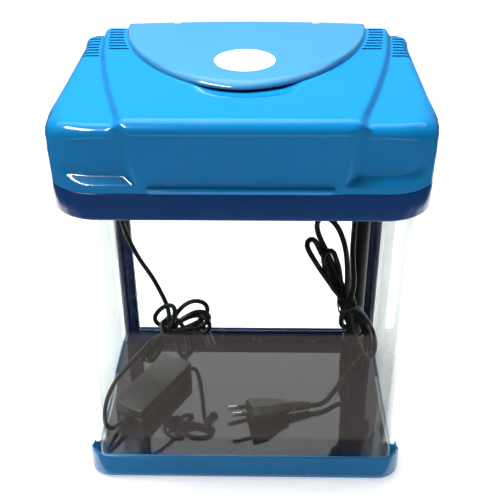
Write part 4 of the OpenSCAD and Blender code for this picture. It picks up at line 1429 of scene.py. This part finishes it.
@dataclass
class HoodForm:
    """The hood's outer surface, as the distance from it of any point."""

    width: float = 0.281
    depth: float = 0.201
    front_radius: float = 0.0365
    back_radius: float = 0.0115
    slope: float = math.tan(math.radians(2.86))
    slope_y: float = -0.080
    wing_top: float = 0.327
    panel_top: float = 0.333
    wing_set_back: float = 0.005
    ledge_low: float = 0.2847
    ledge_high: float = 0.2894
    panel_front: float = 0.078
    panel_back: float = 0.1215
    panel_proud: float = 0.0005
    shoulder: float = 0.014
    front_fillet: float = 0.010
    scoop_at: Pair = (0.004, -0.034)
    scoop_size: Pair = (0.046, 0.026)
    scoop_depth: float = 0.0020
    corner_roll: float = 0.012
    ledge_round: float = 0.0008
    ledge_fillet: float = 0.0010
    panel_edge: float = 0.0016
    panel_fillet: float = 0.0012
    draft: float = 0.62
    front_draft: float = 0.45
    front_flare: float = 0.13
    front_span: Pair = (0.078, 0.094)

    def panel_half(self, y: np.ndarray) -> np.ndarray:
        """Half the panel's width at a depth."""
        t = np.clip((y + self.depth / 2) / self.depth, 0, 1)
        return self.panel_front + (self.panel_back - self.panel_front) * (1 - (1 - t) ** 1.5)

    def level(self, y: np.ndarray, height: float) -> np.ndarray:
        """The height of the sloping top at a depth."""
        return height + self.slope * (y - self.slope_y)

    def plan(self, x: np.ndarray, y: np.ndarray) -> np.ndarray:
        """Distance outside the hood's plan."""
        r = np.where(y < 0, self.front_radius, self.back_radius)
        qx = np.abs(x) - self.width / 2 + r
        qy = np.abs(y) - self.depth / 2 + r
        return np.minimum(np.maximum(qx, qy), 0) + np.hypot(np.maximum(qx, 0), np.maximum(qy, 0)) - r

    def distance(self, p: np.ndarray) -> np.ndarray:
        """Distance outside the hood of each point."""
        x, y, z = p[:, 0], p[:, 1], p[:, 2]
        plan = self.plan(x, y)
        front_y = -self.depth / 2
        upper = meet(plan, front_y + self.wing_set_back - y, self.corner_roll)
        rise, run = self.ledge_high - self.ledge_low, self.wing_set_back
        norm = math.hypot(rise, run)
        ledge = ((z - self.ledge_low) * run - (y - front_y) * rise) / norm
        foot = meet(plan, ledge, self.ledge_round)
        wall = merge(upper, foot, self.ledge_fillet)
        top = z - self.level(y, self.wing_top)
        side = ease(np.abs(x), 0.100, 0.132) * (1 - ease(y, 0.080, 0.096) * 0.5)
        radius = (self.front_fillet + (self.shoulder - self.front_fillet) * side
                  - 0.004 * ease(y, 0.070, 0.095))
        wing = meet(wall, top, radius)

        sx, sy = self.scoop_at
        q = np.hypot((x - sx) / self.scoop_size[0], (y - sy) / self.scoop_size[1])
        scoop = self.scoop_depth * (1 - ease(q, 0.55, 1.0))
        cover = z - self.level(y, self.panel_top) + scoop
        face = front_y - self.panel_proud - y
        skin = meet(face, cover, self.front_fillet)
        below = self.level(y, self.panel_top) - z
        deep = np.clip(-np.maximum(face, z - self.level(y, self.panel_top)), -0.002, 0.009)
        on_front = ease(-y, *self.front_span)
        draft = self.draft + self.front_draft * on_front
        edge = (np.abs(x) - self.panel_half(y) + self.front_flare * np.maximum(below, 0) * on_front
                - draft * deep) / np.sqrt(1 + draft ** 2)
        back = meet(edge, y - self.depth / 2 + 0.001, 0.003)
        panel = meet(skin, back, self.panel_edge)
        return merge(wing, panel, self.panel_fillet)


@dataclass
class Hood:
    """The moulded hood: one thin shell with a raised panel, ledges, louvres and the feeding opening."""

    form: HoodForm = field(default_factory=HoodForm)
    bottom: float = 0.2794
    wall: float = 0.0024
    panel_columns: int = 22
    edge_columns: int = 9
    wing_columns: int = 9
    turn_columns: int = 6
    depth_rows: int = 56
    coarse_rows: int = 6
    fine_rows: int = 20
    fine_top: float = 0.2915
    front: float = -0.0845
    back: float = 0.0930
    reach: float = 0.104
    reach_gain: float = 0.0225

    def frame_of(self, u: np.ndarray, v: np.ndarray, w: np.ndarray, seen: np.ndarray | None
                 ) -> tuple[np.ndarray, np.ndarray]:
        """Where the ray of each grid point starts and which way it goes.

        Args:
            u: Columns from the middle, in cells.
            v: Rows from the middle, in cells.
            w: Rows below the top, in cells; 0 on the top.
            seen: Surface points found so far, which say how wide the panel is there.

        Returns:
            Origins and directions.
        """
        f = self.form
        face_u = self.panel_columns + self.edge_columns + self.wing_columns
        face_v = self.depth_rows / 2
        turn = self.turn_columns
        ex = np.sign(u) * np.clip((np.abs(u) - face_u) / turn, 0, 1)
        ey = np.sign(v) * np.clip((np.abs(v) - face_v) / turn, 0, 1)
        ez = np.clip(1 - w / turn, 0, 1)
        direction = np.column_stack([np.tan(e * math.pi / 4) for e in (ex, ey, ez)])
        direction /= np.linalg.norm(direction, axis=1, keepdims=True)
        y = self.front + (self.back - self.front) * np.clip(v / face_v * 0.5 + 0.5, 0, 1)
        reach = self.reach + self.reach_gain * ease(y, self.front, self.front + 0.030)
        here = y if seen is None else seen[:, 1]
        z_here = np.full(len(y), 0.33) if seen is None else seen[:, 2]
        front_share = ease(-here, *f.front_span)
        fall = np.maximum(f.level(here, f.panel_top) - z_here, 0)
        half = f.panel_half(here) - f.front_flare * fall * front_share
        run = (0.004 + 0.003 * front_share) + 0.003
        a = np.abs(u)
        p, e = self.panel_columns, self.edge_columns
        inner = (half - f.panel_edge) * np.clip(a / p, 0, 1)
        step = run * np.clip((a - p) / e, 0, 1)
        rest = (np.maximum(reach - (half - f.panel_edge) - run, 0.002)
                * np.clip((a - p - e) / self.wing_columns, 0, 1))
        x = np.sign(u) * (inner + step + rest)
        anchor_z = f.level(y, f.wing_top) - f.shoulder + 0.001
        lower = np.clip(w - turn, 0, None)
        upper_part = np.clip(lower / self.coarse_rows, 0, 1)
        fine_part = np.clip((lower - self.coarse_rows) / self.fine_rows, 0, 1)
        z = anchor_z + (self.fine_top - anchor_z) * upper_part + (self.bottom - self.fine_top) * fine_part
        return np.column_stack([x, y, z]), direction

    def cast(self, origin: np.ndarray, direction: np.ndarray, inset: float) -> np.ndarray:
        """Finds where each ray leaves the hood's solid, or the same solid shrunk by the inset."""
        longest_ray, halvings = 0.09, 34
        low = np.zeros(len(origin))
        high = np.full(len(origin), longest_ray)
        for _ in range(halvings):
            middle = (low + high) / 2
            inside = self.form.distance(origin + direction * middle[:, None]) < -inset
            low = np.where(inside, middle, low)
            high = np.where(inside, high, middle)
        return origin + direction * low[:, None]

    def surface(self, grid: np.ndarray, inset: float) -> np.ndarray:
        """Puts every grid point on the hood's surface.

        Args:
            grid: Columns, rows and rows below the top of every point.
            inset: How far inside the outer surface.

        Returns:
            The points.
        """
        seen = None
        for _ in range(3):
            origin, direction = self.frame_of(grid[:, 0], grid[:, 1], grid[:, 2], seen)
            seen = self.cast(origin, direction, 0)
        return self.cast(origin, direction, inset) if inset else seen

    def skin(self, name: str, inset: float) -> Piece:
        """A grid laid over the top and extruded down the sides, row by row, then shaped."""
        columns = 2 * (self.panel_columns + self.edge_columns + self.wing_columns + self.turn_columns)
        rows = self.depth_rows + 2 * self.turn_columns
        deselect_all()
        bpy.ops.mesh.primitive_grid_add(x_subdivisions=columns, y_subdivisions=rows, size=2)
        piece = adopt(name)
        down = self.turn_columns + self.coarse_rows + self.fine_rows
        with editing(piece):
            mesh = bmesh.from_edit_mesh(piece.data)
            keys = [mesh.verts.layers.float.new(k) for k in ("column", "row", "below")]
            for vertex in mesh.verts:
                vertex[keys[0]] = round(vertex.co.x * columns / 2)
                vertex[keys[1]] = round(vertex.co.y * rows / 2)
                vertex[keys[2]] = 0
            bmesh.update_edit_mesh(piece.data)
            pick(piece, "EDGE", lambda e: e.is_boundary)
            for step in range(down):
                bpy.ops.mesh.extrude_edges_move()
                mesh = bmesh.from_edit_mesh(piece.data)
                below = mesh.verts.layers.float["below"]
                for vertex in mesh.verts:
                    if vertex.select:
                        vertex[below] = step + 1
                bmesh.update_edit_mesh(piece.data)
            mesh = bmesh.from_edit_mesh(piece.data)
            keys = [mesh.verts.layers.float[k] for k in ("column", "row", "below")]
            grid = np.array([[v[k] for k in keys] for v in mesh.verts])
            points = self.surface(grid, inset)
            for vertex, place in zip(mesh.verts, points):
                vertex.co = place
            bpy.ops.mesh.select_all(action="SELECT")
            bmesh.update_edit_mesh(piece.data)
            bpy.ops.mesh.normals_make_consistent(inside=False)
            if inset:
                bpy.ops.mesh.flip_normals()
        return piece

    def build(self, shop: Workshop) -> None:
        """Makes the hood and delivers it.

        Args:
            shop: Where finished pieces are delivered.
        """
        outer, inner = self.skin("hood_outer", 0), self.skin("hood_inner", self.wall)
        shell = joined("hood", [outer, inner])
        with editing(shell):
            pick(shell, "EDGE", lambda e: e.is_boundary)
            bpy.ops.mesh.bridge_edge_loops()
        self.open_up(shell)
        shell = joined("hood", [shell, self.lip(), self.skirt(), *self.bosses()])
        shaded(shell, 40)
        shop.deliver(shell, "hood", "shell_blue", "hood_shell")

    def lip(self) -> Piece:
        """The finger lip along the front, narrower at its foot."""
        lip = rounded_box("lip", (-0.066, -0.105, 0.2802), (0.066, -0.0985, 0.2834), 0.0007, 3)
        for vertex in lip.data.vertices:
            share = (0.2834 - vertex.co.z) / 0.0032
            vertex.co.x -= math.copysign(0.0028 * share, vertex.co.x)
            vertex.co.y += 0.0012 * share * (vertex.co.y < -0.102)
        return lip

    def skirt(self) -> Piece:
        """The low wall that locates the hood inside the collar; it is open at the back."""
        plan = Plan(self.form.width - 0.007, self.form.depth - 0.007, self.form.front_radius - 0.0035,
                    self.form.back_radius - 0.0035, 14, 10)
        low, high = self.bottom - 0.007, self.bottom + 0.0042
        section = rounded_profile([(0, low, 0.0006), (0, high, 0.0003), (0.002, high, 0.0003),
                                   (0.002, low, 0.0006)], 2)
        ring = swept("skirt", plan, section)
        return cut(ring, [rounded_box("gap", (-0.2, 0.070, 0.25), (0.2, 0.2, 0.30), 0.001, 1)])

    def bosses(self) -> list[Piece]:
        """The four round bosses that the lamp is screwed to."""
        foot, head, radius = 0.3143, 0.3262, 0.0034
        return [rod("boss", (x, y, foot), (x, y, head), radius, 24) for x, y in LAMP_SCREWS]

    def open_up(self, shell: Piece) -> None:
        """Cuts the feeding opening and the louvres through the shell."""
        f = self.form
        tools = []
        first, pitch, width = 0.044, 0.007, 0.003
        lid = FeedHatch()
        back, long, half, power = lid.back, lid.length, lid.half, lid.power
        for index in range(8):
            y = first + pitch * index
            beside = half * (1 - ((back - min(y, back)) / long) ** power) ** (1 / power)
            panel = float(f.panel_half(np.array([y]))[0])
            z = float(f.level(np.array([y]), f.panel_top)[0])
            for side in (-1, 1):
                for near, far in ((panel + 0.0055, f.width / 2 - 0.004), (beside + 0.003, panel - 0.003)):
                    a, b = sorted((side * near, side * far))
                    tools.append(rounded_box("slot", (a, y, z - 0.024), (b, y + width, z + 0.02), 0.0009, 2))
        outline = [(half * 0.80 * math.copysign(abs(math.cos(t)) ** (2 / power), math.cos(t)),
                    0.086 - long * 0.68 * abs(math.sin(t)) ** (2 / power))
                   for t in np.linspace(math.pi, 2 * math.pi, 49)]
        outline = [(min(max(x, -0.088), 0.088), y) for x, y in outline]
        rings = [np.array([(x, y, z) for x, y in outline]) for z in (0.325, 0.352)]
        tools.append(loft("opening", rings, capped=True))
        cut(shell, tools)


@dataclass
class FeedHatch:
    """The crowned feeding hatch on the hood's top, with its hinge rod and its plain label."""

    form: HoodForm = field(default_factory=HoodForm)
    back: float = 0.0983
    length: float = 0.142
    half: float = 0.103
    power: float = 1.8
    gap: float = 0.00025
    rim_height: float = 0.0036
    crown: float = 0.0026
    crown_middle: float = 0.030
    crown_reach: float = 0.110
    back_band: float = 0.020
    front_band: float = 0.066
    front_half: float = 0.078
    wall: float = 0.0016
    rim_steps: int = 8
    top_steps: int = 22
    arc_points: int = 120
    axis_z: float = 0.344057
    rod_radius: float = 0.0017
    rod_end: float = 0.093
    lug_x: float = 0.060
    lug_room: float = 0.003
    label_radius: float = 0.0235

    def edge(self) -> np.ndarray:
        """The hatch's front outline, from its back left end round to its back right end."""
        t = np.linspace(math.pi, 2 * math.pi, self.arc_points + 1)
        c, s = np.cos(t), np.sin(t)
        return np.column_stack([self.half * np.sign(c) * np.abs(c) ** (2 / self.power),
                                self.back - self.length * np.abs(s) ** (2 / self.power)])

    def rise(self, x: np.ndarray, y: np.ndarray) -> np.ndarray:
        """How high the hatch's top stands above the panel, away from its rim."""
        across = 1 - (x / self.half) ** 2
        along = 1 - ((y - self.crown_middle) / self.crown_reach) ** 2
        return self.rim_height + self.crown * np.clip(across, 0, 1) * np.clip(0.35 + 0.65 * along, 0, 1)

    def point(self, edge: np.ndarray, inward: float, quarter: float) -> np.ndarray:
        """A ring of the top at one place between the rim's foot and the middle of the back edge."""
        x, y = edge[:, 0], edge[:, 1]
        front = np.clip(1 - (x / self.front_half) ** 2, 0, 1)
        band = self.back_band + self.front_band * front
        share = 1 - band * (1 - math.cos(quarter)) if inward == 0 else (1 - band) * (1 - inward)
        px, py = x * share, self.back + (y - self.back) * share
        lift = self.rise(px, py) * (math.sin(quarter) if inward == 0 else 1)
        return np.column_stack([px, py, self.form.level(py, self.form.panel_top) + self.gap + lift])

    def build(self, shop: Workshop) -> None:
        """Makes the hatch, its hinge rod and its label.

        Args:
            shop: Where finished pieces are delivered.
        """
        edge = self.edge()
        rings = [self.point(edge, 0, math.pi / 2 * k / self.rim_steps) for k in range(self.rim_steps + 1)]
        rings += [self.point(edge, (k / self.top_steps) ** 0.9, math.pi / 2)
                  for k in range(1, self.top_steps)]
        rings.append(self.point(edge, 0.999, math.pi / 2))
        lid = loft("feeding_hatch", rings, loop=False)
        with editing(lid):
            bpy.ops.mesh.select_all(action="SELECT")
            bpy.ops.mesh.remove_doubles(threshold=0.0003)
            bpy.ops.mesh.normals_make_consistent(inside=False)
        self.face_up(lid)
        with_modifier(lid, "SOLIDIFY", thickness=self.wall, offset=-1, use_even_offset=False)
        inner, outer = self.lug_x - self.lug_room, self.lug_x + self.lug_room
        bars = [rod("rod", (a, self.back, self.axis_z), (b, self.back, self.axis_z), self.rod_radius, 24)
                for a, b in ((-self.rod_end, -outer), (-inner, inner), (outer, self.rod_end))]
        notches = [rounded_box("notch", (x - 0.0029, self.back - 0.0026, 0.336),
                               (x + 0.0029, self.back + 0.004, 0.352),
                               0.0004, 1) for x in (-self.lug_x, self.lug_x)]
        cut(lid, notches)
        hatch = joined("feeding_hatch", [lid, *bars])
        shaded(hatch, 38)
        shop.deliver(hatch, "feed_hatch", "hatch_blue", "feed_hatch")
        self.label(shop)

    def face_up(self, lid: Piece) -> None:
        """Turns an open sheet's faces upwards."""
        with editing(lid):
            mesh = bmesh.from_edit_mesh(lid.data)
            mesh.normal_update()
            lean = sum(face.normal.z * face.calc_area() for face in mesh.faces)
            bpy.ops.mesh.select_all(action="SELECT")
            if lean < 0:
                bpy.ops.mesh.flip_normals()

    def label(self, shop: Workshop) -> None:
        """A plain round label, bent over the hatch's crown."""
        deselect_all()
        middle = (0.001, 0.001)
        bpy.ops.mesh.primitive_circle_add(vertices=72, radius=self.label_radius, fill_type="NGON",
                                          location=(*middle, 0))
        disc = adopt("hatch_label_disc")
        with editing(disc):
            bpy.ops.mesh.select_mode(type="FACE")
            bpy.ops.mesh.select_all(action="SELECT")
            for _ in range(6):
                bpy.ops.mesh.inset(thickness=self.label_radius / 8, depth=0)
        for vertex in disc.data.vertices:
            x, y = vertex.co.x, vertex.co.y
            lift = float(self.rise(np.array([x]), np.array([y]))[0]) + self.gap + 0.00006
            vertex.co.z = float(self.form.level(np.array([y]), self.form.panel_top)[0]) + lift
        with_modifier(disc, "SOLIDIFY", thickness=0.00022, offset=1)
        shop.deliver(tidy_mesh(disc), "feed_hatch", "label_white", "hatch_label")


def knuckle(x: float, y: float, z: float, half: float, arm: tuple[Pair, Pair], bore: float) -> Piece:
    """A hinge barrel along X with its arm and its bore.

    Args:
        x: The barrel's middle.
        y: The hinge line's place from front to back.
        z: The hinge line's height.
        half: Half the barrel's length.
        arm: How far the arm reaches in Y and in Z.
        bore: The radius of the pin's hole.

    Returns:
        The new object.
    """
    (front, back), (foot, head) = arm
    barrel = rod("knuckle", (x - half, y, z), (x + half, y, z), 0.004, 40)
    cut(barrel, [rounded_box("arm", (x - half, front, foot), (x + half, back, head), 0.0008, 2)], "UNION")
    return cut(barrel, [rod("bore", (x - 0.01, y, z), (x + 0.01, y, z), bore, 24)])


@dataclass
class HoodHinges:
    """The hood's two knuckles at the back and the hatch's two lugs."""

    half_knuckle: float = 0.0054
    bore: float = 0.00156

    def build(self, shop: Workshop) -> None:
        """Makes the hood's halves of the hinges.

        Args:
            shop: Where finished pieces are delivered.
        """
        low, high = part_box("hood_hinge_pins")
        y, z = (low.y + high.y) / 2, (low.z + high.z) / 2
        parts = []
        for x in HINGE_MIDDLES:
            arm = (0.0975, y + 0.0025), (z + 0.001, z + 0.010)
            parts.append(knuckle(x, y, z, self.half_knuckle, arm, self.bore))
        hatch = FeedHatch()
        for x in (-hatch.lug_x, hatch.lug_x):
            barrel = rod("lug", (x - 0.0025, hatch.back, hatch.axis_z),
                         (x + 0.0025, hatch.back, hatch.axis_z),
                         hatch.rod_radius, 28)
            foot = rounded_box("foot", (x - 0.0025, hatch.back - 0.0016, hatch.axis_z - 0.006),
                               (x + 0.0025, hatch.back + 0.0011, hatch.axis_z - 0.0004), 0.0004, 2)
            parts.append(cut(barrel, [foot], "UNION"))
        piece = tidy_mesh(joined("hood_knuckles", parts), merge=1e-7)
        shop.deliver(piece, "hood", "shell_blue")


# ---------------------------------------------------------------- collar, base and glass


@dataclass
class Collar:
    """The collar round the glass's top: a ledge inside, and a rounded lower edge outside."""

    plan: Plan = Plan(0.281, 0.201, 0.0365, 0.0115, 20, 12)
    opening_margin: float = 0.0235
    wall: float = 0.003
    grommet_at: Pair = (-0.1245, 0.062)
    half_knuckle: float = 0.0048
    bore: float = 0.0015

    def build(self, shop: Workshop) -> None:
        """Sweeps the collar, cuts its openings and adds its knuckles.

        Args:
            shop: Where finished pieces are delivered.
        """
        glass_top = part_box("bent_pane")[1].z
        bottom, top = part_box("collar")[0].z, glass_top + 0.017
        under, over = glass_top + 0.0003, glass_top + 0.006
        section = rounded_profile([
            (0.0, bottom, 0.0026), (0.0, top, 0.0006), (self.wall, top, 0.0006), (self.wall, over, 0.0008),
            (self.opening_margin, over, 0.0010), (self.opening_margin, under, 0.0010),
            (0.0052, under, 0.0004),
            (0.0052, bottom, 0.0008)], 3)
        ring = swept("collar_ring", self.plan, section)
        box_low, box_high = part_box("filter_box")
        tools = [rounded_box("notch", (box_low.x - 0.0007, 0.016, under - 0.002),
                             (0.1277, box_high.y - 0.0075, over + 0.004), 0.0015, 2),
                 rod("grommet_hole", (*self.grommet_at, under - 0.003), (*self.grommet_at, over + 0.003),
                     0.0042, 32)]
        cut(ring, tools)
        pins_low, pins_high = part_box("hood_hinge_pins")
        y, z = (pins_low.y + pins_high.y) / 2, (pins_low.z + pins_high.z) / 2
        parts = [ring]
        for middle in HINGE_MIDDLES:
            for side in (-0.0105, 0.0105):
                arm = (0.0985, y + 0.004), (z - 0.011, z)
                parts.append(knuckle(middle + side, y, z, self.half_knuckle, arm, self.bore))
        for part in parts:
            tidy_mesh(part, merge=1e-7)
        piece = shop.deliver(joined("collar_moulding", parts), "tank", "shell_blue", "collar")
        # The collar stays in the hood's blue slot but is redressed in a darker copy of that blue, which is
        # painted shade.
        shop.palette.dress(piece, "collar_shaded_blue")


@dataclass
class Base:
    """The base tray that the glass stands in, and its feet."""

    plan: Plan = Plan(0.274, 0.198, 0.021, 0.008, 20, 24)
    pocket: Plan = Plan(0.2708, 0.1926, 0.0195, 0.0064, 20, 24)
    side_top: float = 0.0124
    front_end: Pair = (-0.093, -0.064)
    wall: float = 0.0027
    lean: float = 0.0008
    lean_height: float = 0.024
    foot: Point = (0.112, 0.072, 0.008)

    def build(self, shop: Workshop) -> None:
        """Sweeps the tray's wall, which stands higher along the front, and its floor.

        Args:
            shop: Where finished pieces are delivered.
        """
        low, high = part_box("base_tray")
        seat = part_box("floor_pane")[0].z
        wide = 0.030
        section = rounded_profile([
            (0.0, low.z, 0.0012), (0.0, high.z, 0.0012), (self.wall, high.z, 0.0007),
            (self.wall, seat, 0.0006),
            (wide, seat, 0.0002), (wide, low.z, 0.0002)], 4)
        rings = []
        for inward, z in section:
            share = min(inward / self.wall, 1)
            inside = self.pocket.grown(-max(inward - self.wall, 0)).outline(z)
            ring = self.plan.outline(z) * (1 - share) + inside * share
            top = high.z + (self.side_top - high.z) * ease(ring[:, 1], *self.front_end)
            if z > seat + 0.001:
                ring[:, 2] = seat + (z - seat) * (top - seat) / (high.z - seat)
            if inward < 0.001:
                rise = np.clip((ring[:, 2] - low.z) / self.lean_height, 0, 1)
                ring[:, 0] -= np.sign(ring[:, 0]) * self.lean * rise
            rings.append(ring)
        rim = loft("tray_rim", rings, section_closed=True)
        floor_plan = self.pocket.grown(self.wall - wide + 0.0005)
        middle = loft("tray_floor", [floor_plan.outline(z) for z in (low.z, seat)], capped=True)
        shop.deliver(tidy_mesh(joined("base_moulding", [rim, middle])), "tank", "base_blue", "base_tray")
        self.feet(shop)

    def feet(self, shop: Workshop) -> None:
        """Four round rubber feet with a domed edge."""
        low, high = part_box("base_feet")
        feet = []
        across, along, radius = self.foot
        for x in (-across, across):
            for y in (-along, along):
                foot = rod("foot", (x, y, low.z), (x, y, high.z), radius, 48)
                with editing(foot):
                    pick(foot, "EDGE", lambda e: abs(e.verts[0].co.z - low.z) < 1e-5
                         and abs(e.verts[1].co.z - low.z) < 1e-5)
                    bpy.ops.mesh.bevel(offset=0.001, segments=3)
                feet.append(foot)
        shop.deliver(tidy_mesh(joined("rubber_feet", feet)), "tank", "rubber_black", "base_feet")


@dataclass
class GlassBody:
    """The bent front pane, the rear pane, the floor pane, the dark posts and the silicone seal."""

    plan: Plan = Plan(0.270, 0.190, 0.031, 0.006, 28, 10)
    thickness: float = 0.003
    cut_y: float = 0.086

    def bent(self, shop: Workshop) -> None:
        """Bends one pane round both front corners."""
        low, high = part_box("bent_pane")
        outer = self.path(self.plan)
        inner = self.path(self.plan.grown(-self.thickness))
        arris = 0.0005
        section = [(0, low.z + arris), (0, high.z - arris), (arris, high.z), (self.thickness - arris, high.z),
                   (self.thickness, high.z - arris), (self.thickness, low.z + arris),
                   (self.thickness - arris, low.z), (arris, low.z)]
        rings = []
        for inward, z in section:
            share = inward / self.thickness
            ring = outer * (1 - share) + inner * share
            rings.append(np.column_stack([ring[:, :2], np.full(len(ring), z)]))
        pane = loft("bent_glass", rings, loop=False, section_closed=True)
        close_ends(pane)
        shop.deliver(tidy_mesh(pane, 25), "tank", "glass", "bent_pane")

    def path(self, plan: Plan) -> np.ndarray:
        """The bent pane's outline from its left back edge round the front to its right back edge."""
        w, d, r = plan.width / 2, plan.depth / 2, plan.front_radius
        points = [(-w, self.cut_y), (-w, 0.03)]
        for cx, start in ((-w + r, 180), (w - r, 270)):
            for i in range(plan.corner_points + 1):
                a = math.radians(start + 90 * i / plan.corner_points)
                points.append((cx + r * math.cos(a), -d + r + r * math.sin(a)))
        points += [(w, 0.03), (w, self.cut_y)]
        return np.array([(x, y, 0) for x, y in points])

    def build(self, shop: Workshop) -> None:
        """Makes every piece of the glass body.

        Args:
            shop: Where finished pieces are delivered.
        """
        self.bent(shop)
        low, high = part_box("rear_pane")
        shop.deliver(tidy_mesh(rounded_box("rear_glass", low, high, 0.0005, 1), 25), "tank", "glass",
                     "rear_pane")
        low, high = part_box("floor_pane")
        inset = self.plan.grown(-self.thickness - 0.0003)
        section = [(0.0006, low.z), (0, low.z + 0.0006), (0, high.z - 0.0006), (0.0006, high.z)]
        rings = [inset.grown(-inward).outline(z) for inward, z in section]
        shop.deliver(tidy_mesh(loft("floor_glass", rings, capped=True), 25), "tank", "floor_glass",
                     "floor_pane")
        self.posts(shop)
        self.rail(shop)
        self.seal(shop)

    def posts(self, shop: Workshop) -> None:
        """Two dark corner posts, each with a groove for the rear pane and a rounded inner edge."""
        for name, side in (("corner_post_left", -1), ("corner_post_right", 1)):
            low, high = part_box(name)
            outline = rounded_profile(mm(
                (116.2, 86.3, 0.8), (125.2, 86.3, 0), (125.2, 84, 0.8), (128.5, 84, 0.8),
                (128.5, 92.2, 0.8), (125.2, 92.2, 0), (125.2, 94.5, 0.8), (116.2, 94.5, 0.8),
                (116.2, 92.1, 0), (119.9, 92.1, 0), (119.9, 88.7, 0), (116.2, 88.7, 0)), 3)
            rings = [np.array([(side * x, y, z) for x, y in outline]) for z in (low.z, high.z)]
            shop.deliver(tidy_mesh(loft(name + "_moulding", rings, capped=True)), "tank", "post_blue", name)

    def rail(self, shop: Workshop) -> None:
        """The dark channel along the rear pane's foot, and the clear beads behind the posts."""
        low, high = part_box("rear_rail")
        outline = rounded_profile([
            (low.y, low.z, 0.0006), (high.y, low.z, 0.0006), (high.y, high.z, 0.0008),
            (0.0921, high.z, 0.0003),
            (0.0921, 0.012, 0.0), (0.0887, 0.012, 0.0), (0.0887, high.z, 0.0003), (low.y, high.z, 0.0009)], 3)
        rings = [np.array([(x, y, z) for y, z in outline]) for x in (low.x, high.x)]
        shop.deliver(tidy_mesh(loft("rear_channel", rings, capped=True)), "tank", "post_blue", "rear_rail")
        low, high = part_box("corner_seals")
        beads = [rounded_box("bead", (a, low.y, low.z), (b, high.y, high.z), 0.0012, 3)
                 for a, b in ((low.x, low.x + 0.0029), (high.x - 0.0029, high.x))]
        shop.deliver(tidy_mesh(joined("corner_beads", beads)), "tank", "seal", "corner_seals")

    def seal(self, shop: Workshop) -> None:
        """A hand-smoothed bead of silicone in the corner of the glass and the floor."""
        low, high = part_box("floor_seal")
        outer = self.path(self.plan.grown(-self.thickness))
        inner = self.path(self.plan.grown(-self.thickness - 0.002))
        keep = slice(1, -1)
        steps = 5
        rings = [np.column_stack([outer[keep, :2], np.full(len(outer) - 2, low.z)])]
        for k in range(steps + 1):
            a = math.pi / 2 * k / steps
            share = 1 - math.cos(a)
            ring = outer[keep] * (1 - share) + inner[keep] * share
            wobble = 0.00012 * np.sin(np.arange(len(ring)) * 1.7)
            z = low.z + (high.z - low.z) * (1 - math.sin(a)) + wobble * (1 - share)
            rings.append(np.column_stack([ring[:, :2], z]))
        bead = loft("silicone_bead", rings, loop=False, section_closed=True)
        close_ends(bead)
        shop.deliver(tidy_mesh(bead), "tank", "seal", "floor_seal")


def main() -> None:
    """Builds the object, piece by piece."""
    logging.basicConfig(level=logging.INFO, format="%(message)s")
    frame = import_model()
    shop = Workshop(frame)
    studio = Studio()
    studio.camera()
    Leads().build(shop)
    studio.floor()
    studio.lights()
    Hood().build(shop)
    FeedHatch().build(shop)
    HoodHinges().build(shop)
    Collar().build(shop)
    Base().build(shop)
    GlassBody().build(shop)
    Driver().build(shop)
    Plug().build(shop)
    PumpFilter().build(shop)
    Lamp().build(shop)
    shop.dress_nodes()
    LOG.info("%d pieces delivered", shop.count)


if __name__ == "__main__":
    main()
